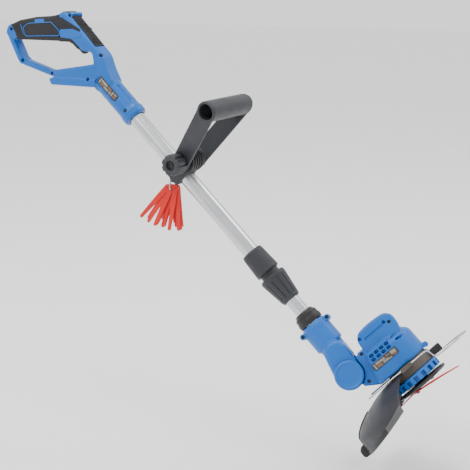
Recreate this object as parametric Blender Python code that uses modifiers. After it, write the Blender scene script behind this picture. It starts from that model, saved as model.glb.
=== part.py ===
"""Cordless telescopic lawn edger and grass trimmer, built from separate pieces.

Lengths below are in millimetres and become metres in the helper functions. Two frames are used.
The rear handle is modelled in the world frame: +X forward, +Z up, origin at the middle of the grip.
Everything on the shaft is modelled under the empty `shaft_frame`, whose +X runs down the shaft from
the mouth of the handle's collar and whose +Z points away from the ground, square to the shaft.
"""

import math

import bmesh
import bpy
from mathutils import Matrix, Vector

MM = 0.001
GAP = 0.3  # clearance between pieces that touch

# The shaft.
SHAFT_SLOPE = 42.5  # degrees below the horizontal
COLLAR_MOUTH = (201.4, -147.3)  # world X and Z of the shaft frame's origin
UPPER_TUBE_R, UPPER_TUBE_WALL = 14.0, 1.5
LOWER_TUBE_R, LOWER_TUBE_WALL = 12.0, 1.3
UPPER_TUBE_SPAN = (-84.0, 350.0)
LOWER_TUBE_SPAN = (110.0, 503.0)
COLLAR_SPAN = (311.0, 355.0)
NUT_SPAN = (363.0, 415.0)
SLEEVE_SPAN = (443.0, 466.0)
NECK_SPAN = (467.0, 512.0)
NECK_R, NECK_WAIST_R = 24.5, 20.5

# The rear handle.
LOOP_HALF_DEPTH, GRIP_HALF_DEPTH, NOSE_HALF_DEPTH = 13.0, 17.0, 17.0
BATTERY_HALF_DEPTH, RAIL_HALF_DEPTH = 20.0, 22.0
RAIL_BOTTOM = -97.0
TRIGGER_PIN = (66.0, -8.0)

# The second, D-shaped handle on its sliding clamp.
AUX_PIVOT = (122.5, 24.0)
D_BAR = (112.3, 142.0)
D_BAR_R, D_BAR_BORE_R, D_BAR_HALF = 17.5, 12.8, 61.0
ARM_T = 5.5
CLAMP_HALF = 17.0

# The cutting head.
HEAD_TURN = 27.0
TILT_AXIS = (569.5, -6.6)
KNUCKLE_R, KNUCKLE_HALF = 24.0, 30.0
LUG_HALF = 15.5
MOTOR_Z = 74.0
MOTOR_R, MOTOR_SPAN = 18.5, (549.0, 598.0)
HOUSING_BASE, HOUSING_R = 613.0, 40.5
DISC_R, DISC_SPAN = 46.0, (650.0, 655.0)
BLADE_PIN_R, BLADE_LENGTH = 34.0, 76.0
STUD_HEADING, BLADE_HEADING = 116.0, 8.0
GUARD_SPREAD, GUARD_SIDE_R, GUARD_REAR_R, GUARD_T = 66.0, 116.0, 137.0, 3.0
WIRE_R, WIRE_Y, WIRE_X = 1.8, 45.5, 616.9
WIRE_REAR_Z, WIRE_FRONT_Z = -9.5, 108.0
HOOK, HOOK_Y = (124.0, -22.5), -5.0
SPARE_BLADES, HOOP_R = 4, 10.0

BLUE = ((0.0, 0.19, 0.70), 0.32, 0.0)
BLACK = ((0.018, 0.018, 0.02), 0.6, 0.0)
GREY = ((0.06, 0.065, 0.075), 0.5, 0.0)
ALUMINIUM = ((0.78, 0.79, 0.8), 0.28, 1.0)
STEEL = ((0.62, 0.63, 0.64), 0.25, 1.0)
DARK_STEEL = ((0.12, 0.12, 0.13), 0.4, 1.0)
RED = ((0.75, 0.05, 0.03), 0.4, 0.0)
LABEL = ((0.05, 0.05, 0.055), 0.4, 0.0)
BRASS = ((0.7, 0.5, 0.2), 0.35, 1.0)


# ---------------------------------------------------------------- helpers


def clear_scene():
    for obj in list(bpy.data.objects):
        bpy.data.objects.remove(obj, do_unlink=True)


def new_collection(name, hidden=False):
    collection = bpy.data.collections.new(name)
    bpy.context.scene.collection.children.link(collection)
    collection.hide_render = hidden
    return collection


def finish_material(name, look):
    colour, roughness, metallic = look
    material = bpy.data.materials.new(name)
    material.use_nodes = True
    shader = material.node_tree.nodes["Principled BSDF"]
    shader.inputs["Base Color"].default_value = (*colour, 1.0)
    shader.inputs["Roughness"].default_value = roughness
    shader.inputs["Metallic"].default_value = metallic
    return material


def add_object(name, data, frame):
    obj = bpy.data.objects.new(name, data)
    TOOLS.objects.link(obj)
    obj.hide_render = True
    obj.display_type = "WIRE"
    if frame is not None:
        obj.parent = frame
        if frame not in DATUMS:
            obj.matrix_parent_inverse = frame.matrix_basis.inverted()
    return obj


def piece(obj, name, look):
    """Turn a shape into a visible sub-part with its own material."""
    TOOLS.objects.unlink(obj)
    PARTS.objects.link(obj)
    obj.name = name
    obj.hide_render = False
    obj.display_type = "TEXTURED"
    obj.data.materials.clear()
    obj.data.materials.append(finish_material(name, look))
    if obj.type == "MESH":
        obj.data.shade_smooth()
        obj.data.set_sharp_from_angle(angle=math.radians(35))
    return obj


def joint_empty(name, point, frame):
    empty = bpy.data.objects.new(name, None)
    PARTS.objects.link(empty)
    empty.empty_display_size = 0.02
    empty.location = Vector(point) * MM
    if frame is not None:
        empty.parent = frame
        if frame not in DATUMS:
            empty.matrix_parent_inverse = frame.matrix_basis.inverted()
    bpy.context.view_layer.update()
    return empty


def meshed(obj):
    """Replace a curve object with its welded mesh."""
    bpy.context.view_layer.update()
    graph = bpy.context.evaluated_depsgraph_get()
    mesh = bpy.data.meshes.new_from_object(obj.evaluated_get(graph))
    grid = bmesh.new()
    grid.from_mesh(mesh)
    bmesh.ops.remove_doubles(grid, verts=grid.verts, dist=1e-5)
    bmesh.ops.recalc_face_normals(grid, faces=grid.faces)
    grid.to_mesh(mesh)
    grid.free()
    solid = add_object(obj.name + "_mesh", mesh, obj.parent)
    solid.matrix_basis = obj.matrix_basis
    bpy.data.objects.remove(obj)
    return solid


def plate(outline, half, chamfer=0.0, y=0.0, frame=None, hole=None):
    """A flat XZ outline, extruded to `half` on each side of y, with chamfered rims."""
    curve = bpy.data.curves.new("plate", "CURVE")
    curve.dimensions = "2D"
    curve.fill_mode = "BOTH"
    curve.extrude = (half - chamfer) * MM
    curve.bevel_depth = chamfer * MM
    curve.bevel_resolution = 0
    curve.offset = -chamfer * MM
    for ring in filter(None, (outline, hole)):
        spline = curve.splines.new("POLY")
        spline.points.add(len(ring) - 1)
        for point, (x, z) in zip(spline.points, ring):
            point.co = (x * MM, z * MM, 0, 1)
        spline.use_cyclic_u = True
    obj = add_object("plate", curve, frame)
    obj.rotation_euler = (math.pi / 2, 0, 0)
    obj.location = (0, y * MM, 0)
    return meshed(obj)


def turned(profile, centre=(0.0, 0.0), along="X", steps=24, frame=None, y=0.0):
    """A solid of revolution. `profile` is (place along the axis, radius), from the far end back."""
    mesh = bpy.data.meshes.new("turned")
    points = [(radius * MM, 0, place * MM) for place, radius in profile]
    loop = profile[0][1] > 0 and profile[-1][1] > 0
    edges = [(i, i + 1) for i in range(len(points) - 1)]
    if loop:
        edges.append((len(points) - 1, 0))
    mesh.from_pydata(points, edges, [])
    obj = add_object("turned", mesh, frame)
    screw = obj.modifiers.new("turn", "SCREW")
    screw.steps = screw.render_steps = steps
    screw.use_merge_vertices = True
    screw.merge_threshold = 1e-5
    screw.use_normal_calculate = True
    if along == "X":
        obj.rotation_euler = (0, math.pi / 2, 0)
        obj.location = Vector((0, y, centre[0])) * MM
    else:
        obj.rotation_euler = (-math.pi / 2, 0, 0)
        obj.location = Vector((centre[0], 0, centre[1])) * MM
    return meshed(obj)


def pin(centre, radius, y0, y1, frame=None, steps=16):
    """A plain round pin along Y."""
    return turned([(y1, 0), (y1, radius), (y0, radius), (y0, 0)], centre, "Y", steps, frame)


def ring(outer, inner, start, end, centre=(0.0,), steps=24, frame=None):
    """A plain tube along the shaft."""
    profile = [(end, inner), (end, outer), (start, outer), (start, inner)]
    return turned(profile, centre, "X", steps, frame)


def block(low, high, frame=None):
    mesh = bpy.data.meshes.new("block")
    grid = bmesh.new()
    bmesh.ops.create_cube(grid, size=1.0)
    size = Vector(high) - Vector(low)
    middle = (Vector(high) + Vector(low)) / 2
    place = Matrix.Translation(middle * MM) @ Matrix.Diagonal((*(size * MM), 1.0))
    bmesh.ops.transform(grid, matrix=place, verts=grid.verts)
    grid.to_mesh(mesh)
    grid.free()
    return add_object("block", mesh, frame)


def wire(points, radius, sides=3, frame=None, closed=False):
    """A round rod through the points. `sides` is the bevel resolution."""
    curve = bpy.data.curves.new("wire", "CURVE")
    curve.dimensions = "3D"
    curve.bevel_depth = radius * MM
    curve.bevel_resolution = sides
    curve.use_fill_caps = not closed
    spline = curve.splines.new("POLY")
    spline.points.add(len(points) - 1)
    for point, place in zip(spline.points, points):
        point.co = (*(Vector(place) * MM), 1)
    spline.use_cyclic_u = closed
    return meshed(add_object("wire", curve, frame))


def boolean(obj, other, operation):
    modifier = obj.modifiers.new(operation.lower(), "BOOLEAN")
    modifier.operation = operation
    modifier.object = other
    modifier.solver = "EXACT"
    return obj


def join(obj, *others):
    for other in others:
        boolean(obj, other, "UNION")
    return obj


def cut(obj, *others):
    for other in others:
        boolean(obj, other, "DIFFERENCE")
    return obj


def baked(obj, in_triangles=False):
    """Apply a shape's Booleans, so that other Booleans start from one clean mesh."""
    bpy.context.view_layer.update()
    graph = bpy.context.evaluated_depsgraph_get()
    mesh = bpy.data.meshes.new_from_object(obj.evaluated_get(graph))
    grid = bmesh.new()
    grid.from_mesh(mesh)
    bmesh.ops.remove_doubles(grid, verts=grid.verts, dist=2e-6)
    bmesh.ops.dissolve_degenerate(grid, edges=grid.edges, dist=2e-6)
    if in_triangles:
        bmesh.ops.triangulate(grid, faces=grid.faces)
    grid.to_mesh(mesh)
    grid.free()
    obj.modifiers.clear()
    obj.data = mesh
    return obj


def half_shells(whole, names, look):
    """Split a shape at y = 0 into a right (-Y) and a left (+Y) piece."""
    baked(whole, in_triangles=True)
    reach = 1000
    shells = []
    for name, side in zip(names, (-1, 1)):
        half = add_object(name, whole.data.copy(), whole.parent)
        half.matrix_basis = whole.matrix_basis
        half.matrix_parent_inverse = whole.matrix_parent_inverse
        low, high = sorted((-side * reach, side * GAP / 2))
        away = block((-reach, low, -reach), (reach, high, reach), whole.parent)
        shells.append(piece(cut(half, away), name, look))
    return shells


def circle_points(centre, radius, start=0.0, sweep=360.0, count=16):
    """Points on an arc in the XZ plane, angles in degrees from +X towards +Z."""
    full = abs(sweep) >= 360
    steps = count if full else count - 1
    angles = [math.radians(start + sweep * i / steps) for i in range(count)]
    return [(centre[0] + radius * math.cos(a), centre[1] + radius * math.sin(a)) for a in angles]


def hull_of_circles(first, r1, second, r2, count=9):
    """The outline of a belt around two circles."""
    dx, dz = second[0] - first[0], second[1] - first[1]
    length = math.hypot(dx, dz)
    heading = math.degrees(math.atan2(dz, dx))
    lean = math.degrees(math.acos((r1 - r2) / length))
    back = circle_points(first, r1, heading + lean, 360 - 2 * lean, count)
    front = circle_points(second, r2, heading - lean, 2 * lean, count)
    return back + front


def screw(host, name, centre, face_y, frame=None, seat_depth=6.0, tip=-0.5):
    """Cut a stepped hole into a right-hand shell, and set a screw at the bottom of its counterbore."""
    seat = face_y + seat_depth
    hole = [(2, 0), (2, 1.8), (seat, 1.8), (seat, 3.1), (face_y - 8, 3.1), (face_y - 8, 0)]
    cut(host, turned(hole, centre, "Y", 10, frame))
    head = seat - GAP
    shape = [(tip, 0), (tip, 1.4), (head, 1.4), (head, 2.7), (head - 2, 2.7), (head - 2, 0)]
    return piece(turned(shape, centre, "Y", 8, frame), name, DARK_STEEL)


def coil(centre, radius, wire_r, start, end, turns, frame=None, axis="Z"):
    """A helical spring, as a rod of few sides."""
    count = turns * 10
    points = []
    for i in range(count + 1):
        angle = math.tau * turns * i / count
        along = start + (end - start) * i / count
        a, b = radius * math.cos(angle), radius * math.sin(angle)
        if axis == "Z":
            points.append((centre[0] + a, centre[1] + b, along))
        elif axis == "Y":
            points.append((centre[0] + a, along, centre[1] + b))
        else:
            points.append((along, centre[0] + a, centre[1] + b))
    return wire(points, wire_r, 0, frame)


# ---------------------------------------------------------------- rear handle

GRIP_TOP = [(-56, 9.5), (-42, 14.7), (-5.6, 20.6), (27.6, 22.7), (38.8, 24.6), (54, 29.5)]
GRIP_UNDERSIDE = -20.4
COVER_T = 2.3
NOSE = [(54.3, 29.7), (57, 30.5), (68, 30.2), (78, 21.8), (143, -42), (150, -62), (124, -58)]
NOSE += [(118, -37), (98, -37), (78, -20.4), (54.3, -20.4)]
FRONT_BAR = [(118, -30), (143, -42), (150, -62), (164, -90), (150, -113), (121, -101), (122, -58)]
REAR_CORNER = [(-79, -6), (-72, 5.5), (-56.3, 9.7), (-56.3, -20.4), (-61, -20), (-66.5, -27)]
REAR_BAR = [(-80, -6), (-54, -58), (-47, -66), (-37, -57), (-45.5, -51.5), (-61, -19.5), (-70, -8)]
LOWER_BAR = [(-53, -60), (-45, -66), (22, -84), (33, -85.4), (31, -72), (24, -73.3), (-38, -56)]
BATTERY_HOUSING = [(22, -73), (104, -60.5), (124, -57), (140, -84), (128, -97), (66, -88), (26, -80)]
RAIL = [(25.5, -87), (31, RAIL_BOTTOM), (126, RAIL_BOTTOM), (134, -84), (37, -82.5)]
TRIGGER = [(60, -20), (66, -22.5), (73, -26.5), (84, -35), (92, -42), (97, -41), (97, -36.5)]
TRIGGER += [(90, -28), (87, -16.5), (76.5, -16.5), (73, -5), (66, -2.5), (60.5, -6)]
TRIGGER_SLOT = [(56, -26), (57, 1), (66, 4), (80, 1), (108, -20), (114, -40), (98, -50), (70, -36)]
TERMINAL_BAY = ((60, -13, -110), (104, 13, -78))
SWITCH_BAY = ((74.5, -9, -6), (89, 9, 6))
STRIP_START, STRIP_LENGTH, STRIP_HALF = (78.0, 21.8), 70.0, 12.0
HANDLE_SCREWS = {
    "rear_top": ((-64, -2), -14.0),
    "rear_bottom": ((-43.5, -57.5), -8.5),
    "loop_front": ((32, -77), -20.0),
    "nose_front": ((139, -42), -17.0),
    "battery": ((113, -84), -20.0),
}


def grip_outline(inset, back, front):
    """The grip's side outline between two X values, moved inwards all round."""
    top = [(x, z - inset) for x, z in GRIP_TOP]
    if back < top[0][0]:
        top.insert(0, (back, top[0][1]))
    if front > top[-1][0]:
        top.append((front, top[-1][1]))
    return top + [(front, GRIP_UNDERSIDE + inset), (back, GRIP_UNDERSIDE + inset)]


def strip_outline(outer, inner, extra):
    """The ribbed strip that lies along the sloping front edge of the nose."""
    along = Vector((NOSE[4][0] - NOSE[3][0], NOSE[4][1] - NOSE[3][1])).normalized()
    out = Vector((-along.y, along.x))
    first = Vector(STRIP_START) - along * extra
    last = Vector(STRIP_START) + along * (STRIP_LENGTH + extra)
    return [first + out * outer, last + out * outer, last + out * inner, first + out * inner]


def build_handle_shells():
    body = plate(grip_outline(COVER_T, -62, 60), GRIP_HALF_DEPTH - COVER_T, 4)
    join(body, plate(REAR_CORNER, 14, 3.5), plate(REAR_BAR, LOOP_HALF_DEPTH, 3))
    join(body, plate(LOWER_BAR, 8.5, 2.5), plate(NOSE, NOSE_HALF_DEPTH, 5))
    join(body, plate(FRONT_BAR, NOSE_HALF_DEPTH, 5))
    join(body, plate(BATTERY_HOUSING, BATTERY_HALF_DEPTH, 4), plate(RAIL, RAIL_HALF_DEPTH, 1.5))
    sleeve = [(0, 0), (0, 18), (-2.5, 21.3), (-13, 21.8), (-18, 20), (-104, 20), (-104, 0)]
    join(body, turned(sleeve, (0, 0), "X", 28, SHAFT))
    socket = [(10, 0), (10, UPPER_TUBE_R + GAP), (-84.5, UPPER_TUBE_R + GAP), (-84.5, 0)]
    cut(body, turned(socket, (0, 0), "X", 28, SHAFT), plate(strip_outline(3, -3.3, GAP), 12.3))
    cut(body, block(*TERMINAL_BAY), block(*SWITCH_BAY), plate(TRIGGER_SLOT, 6.2))
    cut(body, pin(TRIGGER_PIN, 2.3, -12.5, 12.5))
    right, left = half_shells(body, ("handle_shell_right", "handle_shell_left"), BLUE)
    for name, (centre, face_y) in HANDLE_SCREWS.items():
        screw(right, "handle_screw_" + name, centre, face_y)
    screw(right, "handle_screw_collar", (191, -133.4), -21.3, None, 3.4, -14.7)
    cut(right, block((-97, -30, -6), (-40, -16.2, 13), SHAFT))
    cut(left, pin((46, 8), 5.3, 8.0, 30))
    return right, left


def build_handle_covers():
    cover = plate(grip_outline(0, -56, 54), GRIP_HALF_DEPTH, 5.5)
    cut(cover, plate(grip_outline(COVER_T - GAP, -70, 70), GRIP_HALF_DEPTH - COVER_T + GAP, 4))
    right, left = half_shells(cover, ("grip_cover_right", "grip_cover_left"), BLACK)
    cut(left, pin((46, 8), 5.3, 8.0, 30))
    piece(plate(strip_outline(0.8, -3, 0), STRIP_HALF, 0.6), "nose_cover", BLACK)


def build_handle_inside():
    axis = joint_empty("trigger_axis", (TRIGGER_PIN[0], 0, TRIGGER_PIN[1]), None)
    trigger = plate(TRIGGER, 5.5, 1.0, 0, axis)
    piece(cut(trigger, pin(TRIGGER_PIN, 2.3, -9, 9, axis)), "trigger", BLACK)
    piece(pin(TRIGGER_PIN, 2.0, -12.2, 12.2, None, 12), "trigger_pin", STEEL)
    piece(coil((82, 0), 2.6, 0.5, -15.6, -5.4, 4), "trigger_spring", STEEL)
    piece(block((76, -7, -4.5), (87.5, 7, 4.5)), "main_switch", BLACK)
    press = joint_empty("lock_off_axis", (46, 15, 8), None)
    button = [(18.6, 0), (18.6, 4.2), (17.6, 4.9), (8.0 + 5.0, 4.9), (8.0 + 5.0, 0)]
    piece(turned(button, (46, 8), "Y", 16, press), "lock_off_button", RED)
    terminal = block((64, -11, -92), (100, 11, -80))
    for y in (-7, 0, 7):
        cut(terminal, block((60, y - 1, -94), (90, y + 1, -86)))
    piece(terminal, "battery_terminal_block", BLACK)
    label = block((-94, -17.0, -3.5), (-43, -16.5, 11), SHAFT)
    piece(label, "handle_label", LABEL)


# ---------------------------------------------------------------- telescopic shaft


def build_shaft():
    start, end = UPPER_TUBE_SPAN
    piece(ring(UPPER_TUBE_R, UPPER_TUBE_R - UPPER_TUBE_WALL, start, end, steps=28, frame=SHAFT),
          "upper_tube", ALUMINIUM)
    start, end = COLLAR_SPAN
    bore = UPPER_TUBE_R + GAP
    profile = [(end, bore), (end, 20.2), (end - 1.5, 21.2), (start + 2, 20), (start, 18.8), (start, bore)]
    piece(turned(profile, (0, 0), "X", 28, SHAFT), "telescope_collar", GREY)
    # The collet's spigot is fixed on the tube's end and its split fingers grip the lower tube.
    profile = [(401, 12.3), (401, 13.6), (380, 15.2), (370, 15.2), (366, 17), (355.3, 17)]
    profile += [(355.3, 14), (350.3, 14), (350.3, 12.3)]
    collet = turned(profile, (0, 0), "X", 20, SHAFT)
    for turn in range(4):
        slit = block((384, -0.8, 10), (405, 0.8, 20), SHAFT)
        slit.rotation_euler = (math.radians(90 * turn), 0, 0)
        cut(collet, slit)
    piece(collet, "lock_collet", BLACK)

    axis = joint_empty("lock_nut_axis", (0, 0, 0), SHAFT)
    start, end = NUT_SPAN
    profile = [(end, 12.5), (end, 15), (end - 4, 17), (start + 5, 23.5), (start, 22), (start, 17.4)]
    profile += [(372, 17.4), (376, 15.8), (384, 15.6), (end - 9, 14.4), (end - 8, 12.5)]
    nut = turned(profile, (0, 0), "X", 28, axis)
    for turn in range(9):
        groove = turned([(420, 0), (420, 2), (374, 2), (374, 0)], (0, 0), "X", 5, axis)
        groove.location = (0, 0, 0)
        lean = math.radians(90 + 8.6)
        angle = math.radians(40 * turn)
        spin = Matrix.Rotation(angle, 4, "X")
        place = Matrix.Translation(Vector((0, 0, 81.0)) * MM) @ Matrix.Rotation(lean, 4, "Y")
        groove.matrix_basis = spin @ place
        cut(nut, groove)
    piece(nut, "twist_lock_nut", GREY)

    start, end = LOWER_TUBE_SPAN
    piece(ring(LOWER_TUBE_R, LOWER_TUBE_R - LOWER_TUBE_WALL, start, end, steps=28, frame=SLIDER),
          "lower_tube", ALUMINIUM)
    lead = [(x, 1.5 * math.sin(x / 30), 1.5 * math.cos(x / 30)) for x in range(119, 496, 29)]
    piece(wire(lead, 4.2, 1, SLIDER), "coiled_lead", BLACK)

    sleeve_axis = joint_empty("release_sleeve_axis", (455, 0, 0), SLIDER)
    start, end = SLEEVE_SPAN
    bore = LOWER_TUBE_R + GAP
    profile = [(end, 17), (end, 21), (end - 6, 21.8), (start + 9, 20), (start + 2, 16.6), (start, 15.6)]
    profile += [(start, bore), (start + 7, bore), (start + 7, 17)]
    piece(turned(profile, (0, 0), "X", 28, sleeve_axis), "release_sleeve", BLACK)


# ---------------------------------------------------------------- second handle


def sheared_arm(side):
    """A flat arm that leans outwards from the pivot up to the end of the hand bar."""
    outline = hull_of_circles(AUX_PIVOT, 18.0, D_BAR, D_BAR_R)
    arm = plate(outline, ARM_T / 2, 1.2, 0, D_AXIS)
    run = D_BAR[1] - AUX_PIVOT[1]
    foot, top = CLAMP_HALF + 9.5, D_BAR_HALF - ARM_T / 2
    for vertex in arm.data.vertices:
        # The plate lies in its own XY plane, with its thickness along local Z = -Y of the shaft.
        share = (vertex.co.y / MM - AUX_PIVOT[1]) / run
        vertex.co.z -= side * (foot + (top - foot) * share) * MM
    return arm


def build_aux_handle():
    outline = [(104, -15), (108, -19), (137, -19), (141, -15), (141, 10), (138, 30), (130, 40)]
    outline += [(115, 40), (107, 30), (104, 10)]
    clamp = plate(outline, CLAMP_HALF, 2.5, 0, CLAMP)
    bore = [(150, 0), (150, UPPER_TUBE_R + GAP), (95, UPPER_TUBE_R + GAP), (95, 0)]
    cut(clamp, turned(bore, (0, 0), "X", 28, CLAMP), block((90, -1, -30), (150, 1, -10), CLAMP))
    cut(clamp, pin(AUX_PIVOT, 3.8, -30, 30, CLAMP))
    outline = [(118, -17), (130, -17), (130, -24), (126, -27), (122, -27), (118, -24)]
    hook = plate(outline, 2.5, 0.4, HOOK_Y, CLAMP)
    cut(hook, pin(HOOK, 2.1, HOOK_Y - 7, HOOK_Y + 7, CLAMP))
    piece(join(clamp, baked(hook)), "aux_clamp", GREY)
    for name, side in (("right", -1), ("left", 1)):
        near, far = side * (CLAMP_HALF + GAP), side * (CLAMP_HALF + 6)
        low, high = sorted((near, far))
        washer = turned([(high, 3.8), (high, 15.5), (low, 15.5), (low, 3.8)], AUX_PIVOT, "Y", 20, CLAMP)
        a, b = sorted((far - side * 1.2, far + side * 2))
        groove = [(b, 9.5), (b, 11.5), (a, 11.5), (a, 9.5)]
        cut(washer, turned(groove, AUX_PIVOT, "Y", 20, CLAMP))
        piece(washer, "rosette_" + name, BLACK)
    bolt = [(36.5, 0), (36.5, 6), (32.3, 6), (32.3, 3.4), (-53, 3.4), (-53, 0)]
    piece(turned(bolt, AUX_PIVOT, "Y", 18, CLAMP), "clamp_bolt", DARK_STEEL)

    bar = turned([(D_BAR_HALF, D_BAR_BORE_R), (D_BAR_HALF, D_BAR_R), (-D_BAR_HALF, D_BAR_R),
                  (-D_BAR_HALF, D_BAR_BORE_R)], D_BAR, "Y", 24, D_AXIS)
    handle = bar
    for side in (-1, 1):
        arm = sheared_arm(side)
        cut(arm, pin(D_BAR, D_BAR_R - 1, -90, 90, D_AXIS, 24))
        near, far = sorted((side * (CLAMP_HALF + 6.3), side * (CLAMP_HALF + 15)))
        join(handle, baked(arm), pin(AUX_PIVOT, 16.5, near, far, D_AXIS, 24))
    baked(handle)
    cut(handle, pin(AUX_PIVOT, 3.8, -45, 45, D_AXIS))
    cut(handle, pin(AUX_PIVOT, 7.0, 32.0, 60, D_AXIS))
    inner = CLAMP_HALF + 6.0
    cut(handle, pin(AUX_PIVOT, 22, -inner - 0.3, inner + 0.3, D_AXIS, 24))
    cut(handle, pin(AUX_PIVOT, 19.2, -70, -32.0, D_AXIS, 24))
    piece(handle, "d_handle", GREY)

    knob_axis = joint_empty("knob_axis", (AUX_PIVOT[0], -45, AUX_PIVOT[1]), CLAMP)
    knob = turned([(-32.4, 3.8), (-32.4, 17.5), (-56, 18), (-58, 16.5), (-58, 7), (-54.5, 7),
                   (-54.5, 3.8)], AUX_PIVOT, "Y", 24, knob_axis)
    for turn in range(8):
        angle = math.radians(45 * turn + 22.5)
        spot = (AUX_PIVOT[0] + 20.5 * math.cos(angle), AUX_PIVOT[1] + 20.5 * math.sin(angle))
        cut(knob, pin(spot, 4.4, -70, -36, knob_axis, 8))
    piece(knob, "clamp_knob", GREY)


def build_spare_blades():
    """Spare blades that hang from a wire hoop, threaded through the eye under the clamp."""
    point = SHAFT.matrix_basis @ (Vector((HOOK[0], 0, HOOK[1])) * MM) / MM
    x, top = point.x, point.z
    axis = joint_empty("spare_blade_axis", (x, 0, top), None)
    hoop = [(x, HOOK_Y + HOOP_R * math.sin(a), top - HOOP_R + HOOP_R * math.cos(a))
            for a in (math.tau * i / 16 for i in range(16))]
    piece(wire(hoop, 1.0, 1, axis, closed=True), "spare_blade_ring", STEEL)
    for i in range(SPARE_BLADES):
        lean = math.radians(-34 + 46 * i / (SPARE_BLADES - 1))
        shift = 2.9 * (i - (SPARE_BLADES - 1) / 2)
        outline = [(-5, 5), (5, 5), (4.5, -30), (3.2, -74), (-3.2, -74), (-4.5, -30)]
        foot = (x, top - HOOP_R - math.sqrt(HOOP_R ** 2 - shift ** 2))
        turn = [(foot[0] + px * math.cos(lean) - pz * math.sin(lean),
                 foot[1] + px * math.sin(lean) + pz * math.cos(lean)) for px, pz in outline]
        y = HOOK_Y + shift
        blade = plate(turn, 1.2, 0.3, y, axis)
        cut(blade, pin(foot, 2.2, y - 3, y + 3, axis, 10))
        piece(blade, "spare_blade_%d" % (i + 1), RED)


# ---------------------------------------------------------------- neck and tilt joint

EAR_Z, EAR_X = 25.5, 475.0
CAP = [(529, 45), (526.5, 80), (528.5, 98.7), (537.5, 107.7), (551.4, 107.5), (564.5, 104.3)]
CAP += [(566, 104), (566, 36.5), (551, 36), (537, 37.5)]
BODY = [(562, 26), (562, 76), (HOUSING_BASE, 76), (HOUSING_BASE, 23), (601, 21.5)]
FOOT = [(551, 27), (556, 18), (592, -1), (599, 1), (612, 21), (612.6, 34), (562, 44), (552, 38)]


def build_neck():
    start, end = NECK_SPAN
    profile = [(548, 0), (548, NECK_WAIST_R), (end + 2, NECK_WAIST_R), (end, NECK_R), (start + 5, NECK_R)]
    profile += [(start + 3.5, 21.5), (start, 21.5), (start, 0)]
    neck = turned(profile, (0, 0), "X", 32, NECK)
    join(neck, plate(hull_of_circles((528, 0), 19.8, TILT_AXIS, KNUCKLE_R), KNUCKLE_HALF, 4, 0, NECK))
    for side in (-1, 1):
        join(neck, pin((EAR_X, side * EAR_Z), 5.2, -15, 15, NECK, 12))
    room = hull_of_circles(TILT_AXIS, KNUCKLE_R + 1.0, (600, 42), 42.0)
    cut(neck, plate(room, LUG_HALF + 0.6, 0, 0, NECK))
    cut(neck, plate(hull_of_circles(TILT_AXIS, KNUCKLE_R + 1.0, (640, -40), 40.0), LUG_HALF + 0.6, 0, 0, NECK))
    bore = [(506, 0), (506, LOWER_TUBE_R + GAP), (472, LOWER_TUBE_R + GAP), (472, 16), (460, 16), (460, 0)]
    cut(neck, turned(bore, (0, 0), "X", 28, NECK))
    cut(neck, turned([(550, 0), (550, 5), (500, 5), (500, 0)], (0, 0), "X", 12, NECK))
    cut(neck, pin(TILT_AXIS, 4.3, -40, 26, NECK))
    cut(neck, pin(TILT_AXIS, 20.5, -60, -19.5, NECK, 28))
    right, left = half_shells(neck, ("neck_shell_right", "neck_shell_left"), BLUE)
    for name, side in (("upper", 1), ("lower", -1)):
        screw(right, "neck_screw_" + name, (EAR_X, side * EAR_Z), -15, NECK)
    piece(pin(TILT_AXIS, 4.0, -18.5, 25.5, NECK), "tilt_pivot_pin", STEEL)

    press = joint_empty("tilt_button_axis", (TILT_AXIS[0], -28, TILT_AXIS[1]), NECK)
    button = [(-24.0, 0), (-24.0, 20), (-33.6, 20), (-33.6, KNUCKLE_R), (-36.5, KNUCKLE_R), (-38.5, 21.5)]
    button += [(-37.5, 18.5), (-37.5, 0)]
    piece(turned(button, TILT_AXIS, "Y", 32, press), "tilt_button", BLUE)


def build_housing():
    housing = plate(CAP, 30, 6, 0, HEAD)
    barrel = [(562, 0), (562, 29), (574, HOUSING_R), (607, HOUSING_R), (HOUSING_BASE, 38.5), (HOUSING_BASE, 0)]
    join(housing, plate(BODY, HOUSING_R, 6, 0, HEAD), plate(FOOT, 28, 4, 0, HEAD))
    join(housing, turned(barrel, (MOTOR_Z, 0), "X", 36, HEAD))
    for side in (-1, 1):
        room = hull_of_circles((528, 0), 20.5, TILT_AXIS, KNUCKLE_R + 0.9)
        cut(housing, plate(room, 25, 0, side * (LUG_HALF + 25.2), HEAD))
    lug = plate(hull_of_circles(TILT_AXIS, 21.5, (588, 36), 18.0), LUG_HALF, 1.5, 0, HEAD)
    join(housing, lug)
    cut(housing, pin(TILT_AXIS, 4.3, -40, 40, HEAD))
    room = [(620, 0), (620, 36), (601, 36), (601, 24), (541, 24), (541, 0)]
    cut(housing, turned(room, (MOTOR_Z, 0), "X", 28, HEAD))
    for x in (567.5, 573.5):
        for side in (-1, 1):
            low, high = sorted((side * 20, side * 60))
            cut(housing, block((x, low, 36), (x + 4, high, 74), HEAD))
    right, left = half_shells(housing, ("motor_housing_right", "motor_housing_left"), BLUE)
    for name, (centre, face_y) in HOUSING_SCREWS.items():
        screw(right, "housing_screw_" + name, centre, face_y, HEAD)
    label = block((581.3, -41.7, 31), (591, -40.8, 78), HEAD)
    piece(label, "housing_label", LABEL)


HOUSING_SCREWS = {
    "top": ((545.8, 97), -30.0),
    "pivot": ((557, 30), -28.0),
    "front": ((597, 11), -28.0),
}


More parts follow.
